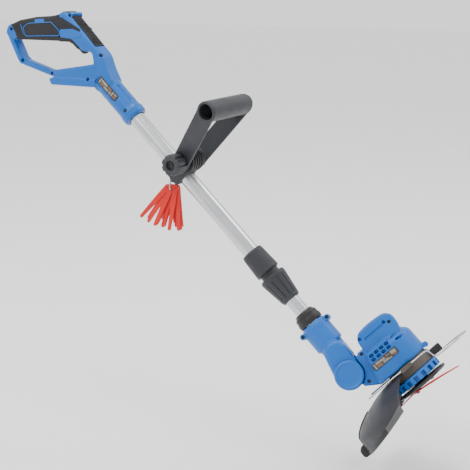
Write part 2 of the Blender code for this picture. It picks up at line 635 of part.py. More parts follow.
def build_motor():
    start, end = MOTOR_SPAN
    can = [(end, 3.2), (end, 8), (end - 2, 8), (end - 2, MOTOR_R), (start, MOTOR_R), (start, 9)]
    can += [(start - 3, 9), (start - 3, 3.2)]
    piece(turned(can, (MOTOR_Z, 0), "X", 28, HEAD), "motor_can", STEEL)
    shaft = [(648, 0), (648, 2.5), (start - 4, 2.5), (start - 4, 0)]
    piece(turned(shaft, (MOTOR_Z, 0), "X", 14, ROTOR), "motor_shaft", STEEL)
    fan = turned([(611, 2.8), (611, 32), (609.5, 32), (609.5, 9), (601.5, 9), (601.5, 2.8)],
                 (MOTOR_Z, 0), "X", 20, ROTOR)
    for turn in range(5):
        vane = block((602, 8, -0.7), (610, 30, 0.7), ROTOR)
        place = Matrix.Translation(Vector((0, 0, MOTOR_Z)) * MM)
        vane.matrix_basis = place @ Matrix.Rotation(math.tau * turn / 5, 4, "X")
        join(fan, vane)
    piece(fan, "cooling_fan", BLACK)
    bearing = [(631.5, 2.9), (631.5, 8), (624.5, 8), (624.5, 2.9)]
    piece(turned(bearing, (MOTOR_Z, 0), "X", 20, HEAD), "lower_bearing", STEEL)


def build_base():
    profile = [(633, 8.3), (633, 38), (616, 38), (HOUSING_BASE + GAP, 36.5)]
    profile += [(HOUSING_BASE + GAP, 34), (622, 33.5), (624, 28), (624, 8.3)]
    collar = turned(profile, (MOTOR_Z, 0), "X", 32, HEAD)
    for side in (-1, 1):
        inner, outer = sorted((side * 30, side * 49.5))
        join(collar, block((HOUSING_BASE + 0.6, inner, 60), (621, outer, 82), HEAD))
    for side in (-1, 1):
        bore = [(WIRE_X, side * WIRE_Y, 40), (WIRE_X, side * WIRE_Y, 90)]
        cut(collar, wire(bore, WIRE_R + 0.5, 1, HEAD))
    cut(collar, turned([(622, 0), (622, 33.5), (605, 34), (605, 0)], (MOTOR_Z, 0), "X", 32, HEAD))
    join(collar, block((621, -8, 105), (632.8, 8, 134), HEAD))
    piece(collar, "guard_collar", GREY)

    bottom = 642.0
    profile = [(bottom, 10), (bottom, 42), (634, 42), (633 + GAP, 40), (633 + GAP, 10)]
    outlet = turned(profile, (MOTOR_Z, 0), "X", 32, HEAD)
    for turn in range(14):
        notch = block((636, 37.5, -3), (650, 46, 3), HEAD)
        place = Matrix.Translation(Vector((0, 0, MOTOR_Z)) * MM)
        notch.matrix_basis = place @ Matrix.Rotation(math.tau * turn / 14, 4, "X")
        cut(outlet, notch)
    piece(outlet, "air_outlet_ring", BLUE)


# ---------------------------------------------------------------- guard, wire and rotor


def guard_profile(theta):
    """Points from the guard collar to the rim, in the plane at `theta` from straight back."""
    least = math.cos(math.radians(GUARD_SPREAD))
    share = max(0.0, (math.cos(theta) - least) / (1 - least))
    reach = GUARD_SIDE_R + (GUARD_REAR_R - GUARD_SIDE_R) * share
    curve = [(622.0, 0.40), (626.1, 0.54), (636.3, 0.763), (643.1, 0.869), (651.4, 0.959), (657.5, 0.993)]
    rim = (662 + 24 * share, reach + 0.5)
    return [(621.5, 38.6)] + [(x, part * reach) for x, part in curve] + [rim]


def build_guard():
    spread, count = math.radians(GUARD_SPREAD), 18
    mesh = bpy.data.meshes.new("guard")
    grid = bmesh.new()
    rows = []
    for i in range(count + 1):
        theta = spread * (2 * i / count - 1)
        row = [(x, radius * math.sin(theta), MOTOR_Z - radius * math.cos(theta))
               for x, radius in guard_profile(theta)]
        rows.append([grid.verts.new(Vector(place) * MM) for place in row])
    for before, after in zip(rows, rows[1:]):
        for a, b, c, d in zip(before, before[1:], after[1:], after):
            grid.faces.new((a, b, c, d))
    bmesh.ops.recalc_face_normals(grid, faces=grid.faces)
    grid.to_mesh(mesh)
    grid.free()
    guard = add_object("guard", mesh, HEAD)
    wall = guard.modifiers.new("wall", "SOLIDIFY")
    wall.thickness = GUARD_T * MM
    wall.offset = 0
    wall.use_even_offset = True
    piece(guard, "cutting_guard", GREY)


def build_plant_guard():
    axis = joint_empty("plant_guard_axis", (WIRE_X, 0, MOTOR_Z), HEAD)
    legs = []
    for side in (-1, 1):
        leg = [(WIRE_X, WIRE_REAR_Z), (WIRE_X, WIRE_FRONT_Z), (618, 111.5), (622, 113.5), (629, 114.5)]
        leg += [(633, 116.5), (634.8, 121), (635, 134)]
        legs.append([(x, side * WIRE_Y, z) for x, z in leg])
    arch = [(635, -WIRE_Y * math.cos(a), 134 + 45.4 * math.sin(a))
            for a in (math.pi * i / 14 for i in range(1, 14))]
    route = legs[0] + arch + legs[1][::-1]
    piece(wire(route, WIRE_R, 1, axis), "plant_guard_wire", STEEL)


def heading_vector(degrees):
    """A unit vector in the plane of the disc, turned from +Z towards -Y."""
    angle = math.radians(degrees)
    return Vector((0, -math.sin(angle), math.cos(angle)))


def build_rotor():
    start, end = DISC_SPAN
    profile = [(end, 0), (end, DISC_R - 2), (end - 1.5, DISC_R), (start, DISC_R), (start, 14)]
    profile += [(643.5, 9), (643.5, 0)]
    disc = turned(profile, (MOTOR_Z, 0), "X", 32, ROTOR)
    cut(disc, turned([(648.4, 0), (648.4, 2.8), (640, 2.8), (640, 0)], (MOTOR_Z, 0), "X", 12, ROTOR))
    spots = [heading_vector(STUD_HEADING + 180 * turn) * BLADE_PIN_R for turn in range(2)]
    for spot in spots:
        stud = [(660.5, 0), (660.5, 3.4), (659.2, 3.4), (659.2, 2.0), (654, 2.0), (654, 0)]
        join(disc, turned(stud, (spot.z + MOTOR_Z, 0), "X", 8, ROTOR, spot.y))
    piece(disc, "cutter_disc", BLACK)
    for turn, spot in enumerate(spots):
        along = heading_vector(BLADE_HEADING + 180 * turn)
        across = along.cross(Vector((1, 0, 0)))
        place = spot + Vector((657.3, 0, MOTOR_Z))
        axis = joint_empty("blade_%d_axis" % (turn + 1), place, ROTOR)
        outline = [(-7, 5), (-7, -5), (4, -6), (30, -4.6), (BLADE_LENGTH, -3), (BLADE_LENGTH, 3)]
        outline += [(30, 4.6), (4, 6)]
        blade = plate(outline, 1.1, 0.25, 0, axis)
        basis = Matrix((along, Vector((1, 0, 0)), across)).transposed().to_4x4()
        hole = pin((0, 0), 2.3, -5, 5, axis)
        cut(blade, hole)
        for part in (blade, hole):
            part.matrix_basis = Matrix.Translation(place * MM) @ basis @ part.matrix_basis
        piece(blade, "cutting_blade_%d" % (turn + 1), RED)


# ---------------------------------------------------------------- assembly

clear_scene()
PARTS = new_collection("lawn_edger")
TOOLS = new_collection("cutters", hidden=True)
SHAFT = bpy.data.objects.new("shaft_frame", None)
PARTS.objects.link(SHAFT)
SHAFT.location = (COLLAR_MOUTH[0] * MM, 0, COLLAR_MOUTH[1] * MM)
SHAFT.rotation_euler = (0, math.radians(SHAFT_SLOPE), 0)
DATUMS = [SHAFT]
SLIDER = joint_empty("telescope_slide_axis", (LOWER_TUBE_SPAN[0], 0, 0), SHAFT)
CLAMP = joint_empty("clamp_slide_axis", (AUX_PIVOT[0], 0, 0), SHAFT)
D_AXIS = joint_empty("d_handle_axis", (AUX_PIVOT[0], 0, AUX_PIVOT[1]), CLAMP)
HEAD_PLANE = joint_empty("head_plane", (0, 0, 0), SLIDER)
HEAD_PLANE.rotation_euler = (-math.radians(HEAD_TURN), 0, 0)
DATUMS.append(HEAD_PLANE)
NECK = joint_empty("head_rotation_axis", (NECK_SPAN[0], 0, 0), HEAD_PLANE)
HEAD = joint_empty("head_tilt_axis", (TILT_AXIS[0], 0, TILT_AXIS[1]), NECK)
ROTOR = joint_empty("rotor_axis", (DISC_SPAN[0], 0, MOTOR_Z), HEAD)

build_handle_shells()
build_handle_covers()
build_handle_inside()
build_shaft()
build_aux_handle()
build_spare_blades()
build_neck()
build_housing()
build_motor()
build_base()
build_guard()
build_plant_guard()
build_rotor()
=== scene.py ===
"""Looks for the cordless telescopic lawn edger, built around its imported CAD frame.

Lengths are in millimetres and become metres where a mesh is made. Pieces of the rear handle use the
row's own frame. Pieces of the shaft use the shaft frame: its X runs down the shaft from the mouth of
the handle's collar, and its Z points away from the ground, square to the shaft. The neck and the head
use the head frame, which is the shaft frame turned 27 degrees about its X.
"""

import math
import random

import bmesh
import bpy
from mathutils import Matrix, Vector


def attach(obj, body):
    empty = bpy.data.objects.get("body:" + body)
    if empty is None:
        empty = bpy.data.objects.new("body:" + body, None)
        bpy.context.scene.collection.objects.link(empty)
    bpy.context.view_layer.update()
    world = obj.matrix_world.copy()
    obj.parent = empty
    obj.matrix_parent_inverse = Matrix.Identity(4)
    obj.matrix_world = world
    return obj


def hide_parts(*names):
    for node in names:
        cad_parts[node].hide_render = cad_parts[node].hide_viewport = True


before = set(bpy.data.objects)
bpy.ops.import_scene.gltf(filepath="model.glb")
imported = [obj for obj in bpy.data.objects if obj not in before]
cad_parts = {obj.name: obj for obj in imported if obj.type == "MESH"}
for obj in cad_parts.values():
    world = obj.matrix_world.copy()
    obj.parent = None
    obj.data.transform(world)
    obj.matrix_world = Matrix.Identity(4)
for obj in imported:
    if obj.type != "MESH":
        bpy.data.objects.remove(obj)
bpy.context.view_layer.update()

MM = 0.001
WORLD = Matrix.Identity(4)
SHAFT = Matrix.Translation((0.2014, 0, -0.1473)) @ Matrix.Rotation(math.radians(42.5), 4, "Y")
HEADF = SHAFT @ Matrix.Rotation(math.radians(-27), 4, "X")
RNG = random.Random(11)

# ---------------------------------------------------------------- materials


class Nodes:
    """A small helper that adds nodes to a material and links them."""

    def __init__(self, name):
        self.material = bpy.data.materials.new(name)
        self.material.use_nodes = True
        self.tree = self.material.node_tree
        self.shader = self.tree.nodes["Principled BSDF"]
        self.coords = self.add("ShaderNodeTexCoord").outputs["Object"]
        self.normal = None

    def add(self, kind, **values):
        node = self.tree.nodes.new(kind)
        for name, value in values.items():
            setattr(node, name, value)
        return node

    def link(self, source, target):
        self.tree.links.new(source, target)

    def scaled(self, stretch=(1, 1, 1), turn=(0, 0, 0)):
        mapping = self.add("ShaderNodeMapping")
        mapping.inputs["Scale"].default_value = stretch
        mapping.inputs["Rotation"].default_value = turn
        self.link(self.coords, mapping.inputs["Vector"])
        return mapping.outputs["Vector"]

    def noise(self, scale, detail=3.0, rough=0.55, stretch=(1, 1, 1)):
        node = self.add("ShaderNodeTexNoise")
        node.inputs["Scale"].default_value = scale
        node.inputs["Detail"].default_value = detail
        node.inputs["Roughness"].default_value = rough
        self.link(self.scaled(stretch), node.inputs["Vector"])
        return node.outputs["Fac"]

    def voronoi(self, scale):
        node = self.add("ShaderNodeTexVoronoi")
        node.inputs["Scale"].default_value = scale
        self.link(self.scaled(), node.inputs["Vector"])
        return node.outputs["Distance"]

    def ramp(self, source, low, high, out_low=0.0, out_high=1.0):
        node = self.add("ShaderNodeMapRange")
        for name, value in zip(("From Min", "From Max", "To Min", "To Max"), (low, high, out_low, out_high)):
            node.inputs[name].default_value = value
        self.link(source, node.inputs["Value"])
        return node.outputs["Result"]

    def mix(self, fac, a, b, blend="MIX"):
        node = self.add("ShaderNodeMix", data_type="RGBA", blend_type=blend)
        for socket, value in ((node.inputs[0], fac), (node.inputs[6], a), (node.inputs[7], b)):
            if isinstance(value, bpy.types.NodeSocket):
                self.link(value, socket)
            elif isinstance(value, (int, float)):
                socket.default_value = value
            else:
                socket.default_value = (*value, 1.0)
        return node.outputs[2]

    def bump(self, height, distance, strength=1.0):
        node = self.add("ShaderNodeBump")
        node.inputs["Strength"].default_value = strength
        node.inputs["Distance"].default_value = distance
        self.link(height, node.inputs["Height"])
        if self.normal is not None:
            self.link(self.normal, node.inputs["Normal"])
        self.normal = node.outputs["Normal"]

    def finish(self, colour, roughness, **sockets):
        if isinstance(colour, bpy.types.NodeSocket):
            self.link(colour, self.shader.inputs["Base Color"])
        else:
            self.shader.inputs["Base Color"].default_value = (*colour, 1.0)
        if isinstance(roughness, bpy.types.NodeSocket):
            self.link(roughness, self.shader.inputs["Roughness"])
        else:
            self.shader.inputs["Roughness"].default_value = roughness
        for name, value in sockets.items():
            self.shader.inputs[name.replace("_", " ")].default_value = value
        if self.normal is not None:
            self.link(self.normal, self.shader.inputs["Normal"])
        return self.material


def painted_edge_highlight(nodes, low=0.515, high=0.56):
    """A mask that is 1 along sharp convex edges, in noisy patches, for a painted edge highlight."""
    pointed = nodes.add("ShaderNodeNewGeometry").outputs["Pointiness"]
    lit_edge = nodes.ramp(pointed, low, high)
    patches = nodes.ramp(nodes.noise(60, 3), 0.35, 0.65)
    node = nodes.add("ShaderNodeMath", operation="MULTIPLY")
    nodes.link(lit_edge, node.inputs[0])
    nodes.link(patches, node.inputs[1])
    return node.outputs[0]


def plastic(name, colour, gloss, grain=2500, grain_depth=0.00004, mottle=0.12, lit_edge_strength=0.25, **sockets):
    """Moulded plastic: a fine spark-eroded grain, faint flow mottling, handling marks, and lighter edges that are a
    painted highlight.
    """
    nodes = Nodes(name)
    dark = tuple(c * (1 - mottle) for c in colour)
    light = tuple(min(1, c * (1 + mottle) + 0.004) for c in colour)
    flow = nodes.ramp(nodes.noise(14, 4), 0.3, 0.7)
    base = nodes.mix(flow, dark, light)
    speck = nodes.ramp(nodes.noise(900, 2), 0.45, 0.7, 0.0, 0.18)
    base = nodes.mix(speck, base, dark)
    # A paler copy of the colour, mixed in along convex edges as a painted edge highlight.
    lit_edge = tuple(min(1, c * 1.5 + 0.05) for c in colour)
    edge = nodes.ramp(painted_edge_highlight(nodes), 0, 1, 0, lit_edge_strength)
    base = nodes.mix(edge, base, lit_edge)
    low, high = gloss
    smear = nodes.ramp(nodes.noise(35, 5, 0.6, (1, 1, 2.2)), 0.3, 0.72, low, high)
    nodes.bump(nodes.noise(grain, 2), grain_depth, 0.6)
    nodes.bump(nodes.noise(55, 2), 0.00012, 0.35)
    scratches = nodes.ramp(nodes.noise(420, 4, 0.5, (1, 6, 1)), 0.62, 0.7)
    nodes.bump(scratches, 0.00002, 0.35)
    return nodes.finish(base, smear, **sockets)


def brushed(name, colour, gloss, stretch, depth=0.00002, metallic=1.0):
    """Drawn and anodised metal with lines along its length, and faint handling smears."""
    nodes = Nodes(name)
    lines = nodes.noise(900, 3, 0.6, stretch)
    cloud = nodes.ramp(nodes.noise(22, 4), 0.3, 0.7)
    dark = tuple(c * 0.86 for c in colour)
    base = nodes.mix(cloud, dark, colour)
    base = nodes.mix(nodes.ramp(lines, 0.35, 0.65, 0, 0.22), base, tuple(c * 0.7 for c in colour))
    low, high = gloss
    rough = nodes.ramp(nodes.noise(60, 4, 0.6, stretch), 0.3, 0.7, low, high)
    nodes.bump(lines, depth, 0.5)
    return nodes.finish(base, rough, Metallic=metallic, Anisotropic=0.4)


BLUE = plastic("blue_shell", (0.0, 0.105, 0.42), (0.3, 0.46), 1800, 0.00002, 0.08, 0.2, Coat_Weight=0.1,
               Coat_Roughness=0.2, Specular_IOR_Level=0.3)
BLACK_SOFT = plastic("black_overmould", (0.012, 0.012, 0.014), (0.55, 0.72), 2600, 0.00009, 0.2, 0.15,
                     Specular_IOR_Level=0.3)
BLACK = plastic("black_plastic", (0.010, 0.010, 0.011), (0.35, 0.5), 2400, 0.00005, 0.2, 0.2,
                Specular_IOR_Level=0.35)
GREY = plastic("grey_plastic", (0.022, 0.024, 0.029), (0.4, 0.56), 2200, 0.00007, 0.12, 0.2,
               Specular_IOR_Level=0.35)
GUARD_GREY = plastic("guard_plastic", (0.026, 0.027, 0.031), (0.42, 0.6), 1800, 0.00008, 0.14, 0.15,
                     Specular_IOR_Level=0.3)
# A paler copy of the guard's grey for the front of the guard's lip: a painted highlight.
LIT_LIP_GREY = plastic("lip_painted_highlight", (0.085, 0.086, 0.09), (0.42, 0.6), 1800, 0.00008, 0.14, 0.15,
                   Specular_IOR_Level=0.3)
BAND = plastic("band_plastic", (0.070, 0.058, 0.050), (0.4, 0.55), 2000, 0.00006, 0.15, 0.2,
               Specular_IOR_Level=0.3)
RED = plastic("red_nylon", (0.56, 0.012, 0.008), (0.4, 0.58), 1500, 0.00004, 0.12, 0.15,
              Specular_IOR_Level=0.3)
TUBE = brushed("anodised_tube", (0.62, 0.63, 0.65), (0.2, 0.32), (0.03, 1, 1))
STEEL = brushed("bright_wire", (0.50, 0.51, 0.53), (0.1, 0.24), (1, 1, 1), 0.00001)
DARK_STEEL = brushed("dark_screw", (0.03, 0.03, 0.035), (0.35, 0.5), (1, 1, 1), 0.00002, 0.6)
LABEL = plastic("label_film", (0.030, 0.028, 0.030), (0.3, 0.4), 900, 0.00001, 0.2, 0.0)
SILVER_INK = plastic("label_ink", (0.30, 0.26, 0.20), (0.35, 0.45), 900, 0.00001, 0.25, 0.0)
COPPER_INK = plastic("label_ink_warm", (0.20, 0.10, 0.055), (0.35, 0.45), 900, 0.00001, 0.25, 0.0)

# ---------------------------------------------------------------- shape helpers


def new_mesh(name, grid):
    bmesh.ops.remove_doubles(grid, verts=grid.verts, dist=1e-6)
    bmesh.ops.recalc_face_normals(grid, faces=grid.faces)
    mesh = bpy.data.meshes.new(name)
    grid.to_mesh(mesh)
    grid.free()
    return mesh


def evaluated(obj):
    """The mesh of an object with its modifiers applied. The object is removed."""
    bpy.context.view_layer.update()
    mesh = bpy.data.meshes.new_from_object(obj.evaluated_get(bpy.context.evaluated_depsgraph_get()))
    bpy.data.objects.remove(obj)
    return mesh


def temporary(data):
    obj = bpy.data.objects.new("temporary", data)
    bpy.context.scene.collection.objects.link(obj)
    return obj


def fillet(points, radius, steps=4, keep=()):
    """A closed outline with its corners rounded off."""
    if radius <= 0:
        return [Vector(p) for p in points]
    points = [Vector(p) for p in points]
    result = []
    for i, corner in enumerate(points):
        if i in keep:
            result.append(corner)
            continue
        before, after = points[i - 1] - corner, points[(i + 1) % len(points)] - corner
        reach = min(radius, before.length * 0.45, after.length * 0.45)
        start, end = corner + before.normalized() * reach, corner + after.normalized() * reach
        for j in range(steps + 1):
            t = j / steps
            result.append(start * (1 - t) ** 2 + corner * 2 * t * (1 - t) + end * t ** 2)
    return result


def plate(outline, half, edge=0.0, y=0.0, corner=0.0, steps=2, hole=None):
    """An XZ outline, extruded to `half` on each side of y, with rounded rims."""
    curve = bpy.data.curves.new("plate", "CURVE")
    curve.dimensions = "2D"
    curve.fill_mode = "BOTH"
    curve.extrude = (half - edge) * MM
    curve.bevel_depth = edge * MM
    curve.bevel_resolution = steps
    curve.offset = -edge * MM
    rings = [fillet(outline, corner)] + ([hole] if hole else [])
    for ring in rings:
        spline = curve.splines.new("POLY")
        spline.points.add(len(ring) - 1)
        for point, place in zip(spline.points, ring):
            point.co = (place[0] * MM, place[1] * MM, 0, 1)
        spline.use_cyclic_u = True
    mesh = evaluated(temporary(curve))
    mesh.transform(Matrix.Translation((0, y * MM, 0)) @ Matrix.Rotation(math.pi / 2, 4, "X"))
    grid = bmesh.new()
    grid.from_mesh(mesh)
    return new_mesh("plate", grid)


def lathe(profile, centre=(0.0, 0.0), along="X", steps=72, corner=0.0, wave=None):
    """A turned solid. `profile` holds (place along the axis, radius); wave(place, angle) changes the radius."""
    keep = [i for i, p in enumerate(profile) if p[1] <= 0]
    profile = [tuple(p) for p in fillet(profile, corner, 4, keep)]
    closed = not keep
    grid = bmesh.new()
    rings = []
    for place, radius in profile:
        ring = []
        for i in range(steps if radius > 0 else 1):
            angle = math.tau * i / steps
            r = radius + (wave(place, angle, radius) if wave and radius > 0 else 0)
            a, b = r * math.cos(angle), r * math.sin(angle)
            if along == "X":
                spot = (place, centre[0] + a, centre[1] + b)
            elif along == "Y":
                spot = (centre[0] + a, place, centre[1] + b)
            else:
                spot = (centre[0] + a, centre[1] + b, place)
            ring.append(grid.verts.new(Vector(spot) * MM))
        rings.append(ring)
    pairs = list(zip(rings, rings[1:])) + ([(rings[-1], rings[0])] if closed else [])
    for first, second in pairs:
        for i in range(steps):
            j = (i + 1) % steps
            corners = [first[i % len(first)], first[j % len(first)], second[j % len(second)],
                       second[i % len(second)]]
            corners = list(dict.fromkeys(corners))
            if len(corners) > 2:
                grid.faces.new(corners)
    return new_mesh("lathe", grid)


def pin(centre, radius, y0, y1, corner=0.0, steps=32):
    return lathe([(y0, 0), (y0, radius), (y1, radius), (y1, 0)], centre, "Y", steps, corner)


def block(low, high, edge=0.0):
    grid = bmesh.new()
    bmesh.ops.create_cube(grid, size=1.0)
    low, high = Vector(low), Vector(high)
    place = Matrix.Translation((low + high) / 2 * MM) @ Matrix.Diagonal((*((high - low) * MM), 1))
    bmesh.ops.transform(grid, matrix=place, verts=grid.verts)
    if edge:
        bmesh.ops.bevel(grid, geom=grid.edges, offset=edge * MM, segments=3, profile=0.5, affect="EDGES")
    return new_mesh("block", grid)


def rod(points, radius, closed=False, resolution=3, smooth=False):
    """A round rod through the points; smooth makes it a curve that passes near them."""
    curve = bpy.data.curves.new("rod", "CURVE")
    curve.dimensions = "3D"
    curve.bevel_depth = radius * MM
    curve.bevel_resolution = resolution
    curve.use_fill_caps = not closed
    spline = curve.splines.new("NURBS" if smooth else "POLY")
    spline.points.add(len(points) - 1)
    for point, place in zip(spline.points, points):
        point.co = (*(Vector(place) * MM), 1)
    if smooth:
        spline.order_u = 4
        spline.use_endpoint_u = True
        spline.resolution_u = 6
    spline.use_cyclic_u = closed
    grid = bmesh.new()
    grid.from_mesh(evaluated(temporary(curve)))
    return new_mesh("rod", grid)


def arc(centre, radius, start=0.0, sweep=360.0, count=32):
    steps = count if abs(sweep) >= 360 else count - 1
    angles = [math.radians(start + sweep * i / steps) for i in range(count)]
    return [(centre[0] + radius * math.cos(a), centre[1] + radius * math.sin(a)) for a in angles]


def belt(first, r1, second, r2, count=20):
    """The outline of a belt round two circles."""
    dx, dz = second[0] - first[0], second[1] - first[1]
    heading = math.degrees(math.atan2(dz, dx))
    lean = math.degrees(math.acos((r1 - r2) / math.hypot(dx, dz)))
    return (arc(first, r1, heading + lean, 360 - 2 * lean, count)
            + arc(second, r2, heading - lean, 2 * lean, count))


def capsule(start, end, radius):
    return belt(start, radius, end, radius, 10)


def joined(meshes):
    grid = bmesh.new()
    for mesh in meshes:
        grid.from_mesh(mesh)
    mesh = bpy.data.meshes.new("joined")
    grid.to_mesh(mesh)
    grid.free()
    return mesh


def moved(mesh, matrix):
    mesh.transform(matrix)
    return mesh


def spun(mesh, angle, centre, axis="X"):
    """The mesh turned about a line through centre, in degrees."""
    place = Matrix.Translation(Vector(centre) * MM)
    mesh.transform(place @ Matrix.Rotation(math.radians(angle), 4, axis) @ place.inverted())
    return mesh


def carved(solids, cutters=()):
    """The union of the solids less the cutters, with crisp edges."""
    whole = temporary(joined(solids))
    boxes = [temporary(joined([cutter])) for cutter in cutters]
    if len(solids) > 1:
        # A Boolean with itself resolves the overlaps first.
        dot = temporary(moved(block((0, 0, 0), (0.01, 0.01, 0.01)), Matrix.Translation((9, 9, 9))))
        boxes.insert(0, dot)
    for box in boxes:
        modifier = whole.modifiers.new("cut", "BOOLEAN")
        modifier.operation = "DIFFERENCE"
        modifier.solver = "EXACT"
        modifier.use_self = box is boxes[0] and len(solids) > 1
        modifier.object = box
    mesh = evaluated(whole)
    for box in boxes:
        bpy.data.objects.remove(box)
    return mesh


def softened(mesh, voxel=0.9, passes=6, groove=None):
    """A mesh remade from small voxels and smoothed, so that all its edges and corners are rounded."""
    obj = temporary(mesh)
    remesh = obj.modifiers.new("remesh", "REMESH")
    remesh.mode = "VOXEL"
    remesh.voxel_size = voxel * MM
    remesh.use_smooth_shade = True
    smooth = obj.modifiers.new("smooth", "SMOOTH")
    smooth.factor = 0.5
    smooth.iterations = passes
    mesh = evaluated(obj)
    if groove:
        for vertex in mesh.vertices:
            depth = groove(vertex.co / MM)
            if depth:
                vertex.co -= vertex.normal * depth * MM
    return mesh


def parting_line(co):
    """The fine groove where the two half shells meet."""
    return 0.35 * max(0.0, 1 - abs(co.y) / 0.8)


def piece(name, mesh, material, body, place=WORLD, nodes=(), crisp=35):
    """A visible piece that rides on a body, and stands for the CAD nodes named."""
    if place is HEADF:
        mesh.transform(place)
        place = WORLD
    obj = bpy.data.objects.new(name, mesh)
    bpy.context.scene.collection.objects.link(obj)
    obj.matrix_world = place
    mesh.materials.clear()
    mesh.materials.append(material)
    mesh.shade_smooth()
    if crisp:
        mesh.set_sharp_from_angle(angle=math.radians(crisp))
    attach(obj, body)
    if nodes:
        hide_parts(*nodes)
    return obj


# ---------------------------------------------------------------- rear handle

GRIP_TOP = [(-58, 8.8), (-42, 14.7), (-5.6, 20.6), (27.6, 22.7), (38.8, 24.2), (54, 27.6)]
UNDERSIDE = -20.4
NOSE = [(50, 28.4), (57, 30.5), (68, 30.2), (78, 21.8), (143, -42), (150, -62), (124, -58), (118, -37),
        (98, -37), (78, -20.4), (50, -20.4)]
FRONT_BAR = [(118, -30), (143, -42), (150, -62), (164, -90), (150, -113), (121, -101), (122, -58)]
REAR_CORNER = [(-79, -6), (-72, 5.5), (-56.3, 9.7), (-54, -20.4), (-61, -20), (-66.5, -27)]
REAR_BAR = [(-80, -6), (-54, -58), (-47, -66), (-37, -57), (-45.5, -51.5), (-61, -19.5), (-70, -8)]
LOWER_BAR = [(-53, -60), (-45, -66), (22, -84), (33, -85.4), (31, -72), (24, -73.3), (-38, -56)]
BATTERY = [(22, -73), (104, -60.5), (124, -57), (140, -84), (128, -97), (66, -88), (26, -80)]
RAIL = [(25.5, -87), (31, -97), (126, -97), (134, -84), (37, -82.5)]
TRIGGER = [(58, -20), (66, -22.5), (73, -26.5), (84, -35), (92, -42), (97.5, -41), (98, -36), (90, -28),
           (87, -17), (76, -16), (73, -5), (66, -2.5), (60.5, -6)]
HANDLE_SCREWS = [((-64, -2), -13), ((-43.5, -57.5), -8.5), ((32, -77), -20), ((139, -42), -17),
                 ((113, -84), -20), ((74.6, 24.6), -14.5), ((7, 14.3), -16.6)]


def grip_outline(inset, back, front):
    top = [(back, GRIP_TOP[0][1] - inset)] + [(x, z - inset) for x, z in GRIP_TOP[1:]]
    return top + [(front, 27.6 - inset), (front, UNDERSIDE + inset), (back, UNDERSIDE + inset)]


def build_handle():
    solids = [plate(grip_outline(2.3, -60, 60), 14.7, 5), plate(REAR_CORNER, 13.5, 4.5, corner=4),
              plate(REAR_BAR, 13, 4.5, corner=4), plate(LOWER_BAR, 8.5, 3.2, corner=3),
              plate(NOSE, 17, 6, corner=6), plate(FRONT_BAR, 17, 6, corner=8),
              plate(BATTERY, 20, 4, corner=3), plate(RAIL, 22, 1.2, corner=2)]
    sleeve = [(0, 0), (0, 18.6), (-2.5, 21.3), (-13, 21.8), (-18, 20), (-104, 20), (-104, 0)]
    solids.append(moved(lathe(sleeve, corner=1.5), SHAFT))
    for x, z in ((74.6, 24.6),):
        solids.append(pin((x, z), 5.2, -15.2, 15.2))
    socket = moved(lathe([(10, 0), (10, 14.4), (-84.5, 14.4), (-84.5, 0)]), SHAFT)
    bed = [(79, 27), (131, -24.5), (124, -30), (74, 19.5)]
    cutters = [socket, plate(bed, 12.3), block((60, -13, -110), (104, 13, -78)),
               plate([(56, -26), (57, 1), (66, 4), (80, 1), (108, -20), (114, -40), (98, -50), (70, -36)], 6.2)]
    for (x, z), y in HANDLE_SCREWS[:5]:
        cutters.append(pin((x, z), 3.1, y - 5, y + 6))
    cutters.append(pin((74.6, 24.6), 2.9, -30, -10))
    cutters.append(pin((191, -133.4), 3.1, -27, -17.9))
    cutters.append(moved(block((-95.5, -30, -4.5), (-41.5, -16.3, 12)), SHAFT))
    slot = plate(capsule((-60, 0), (-26, 0), 2.6), 4)
    slot.transform(Matrix.Rotation(math.radians(-90), 4, "X"))
    slot.transform(Matrix.Translation(Vector((0, -7, 20.5)) * MM))
    cutters.append(moved(slot, SHAFT))
    # A long flute on each side of the battery housing.
    for y in (-20, 20):
        cutters.append(plate(capsule((40, -81.5), (96, -79.5), 1.0), 1.1, y=y))
    mesh = softened(carved(solids, cutters), 1.0, 4, parting_line)
    piece("handle_body", mesh, BLUE, "handle", nodes=("handle_shell_right", "handle_shell_left"),
          crisp=0)


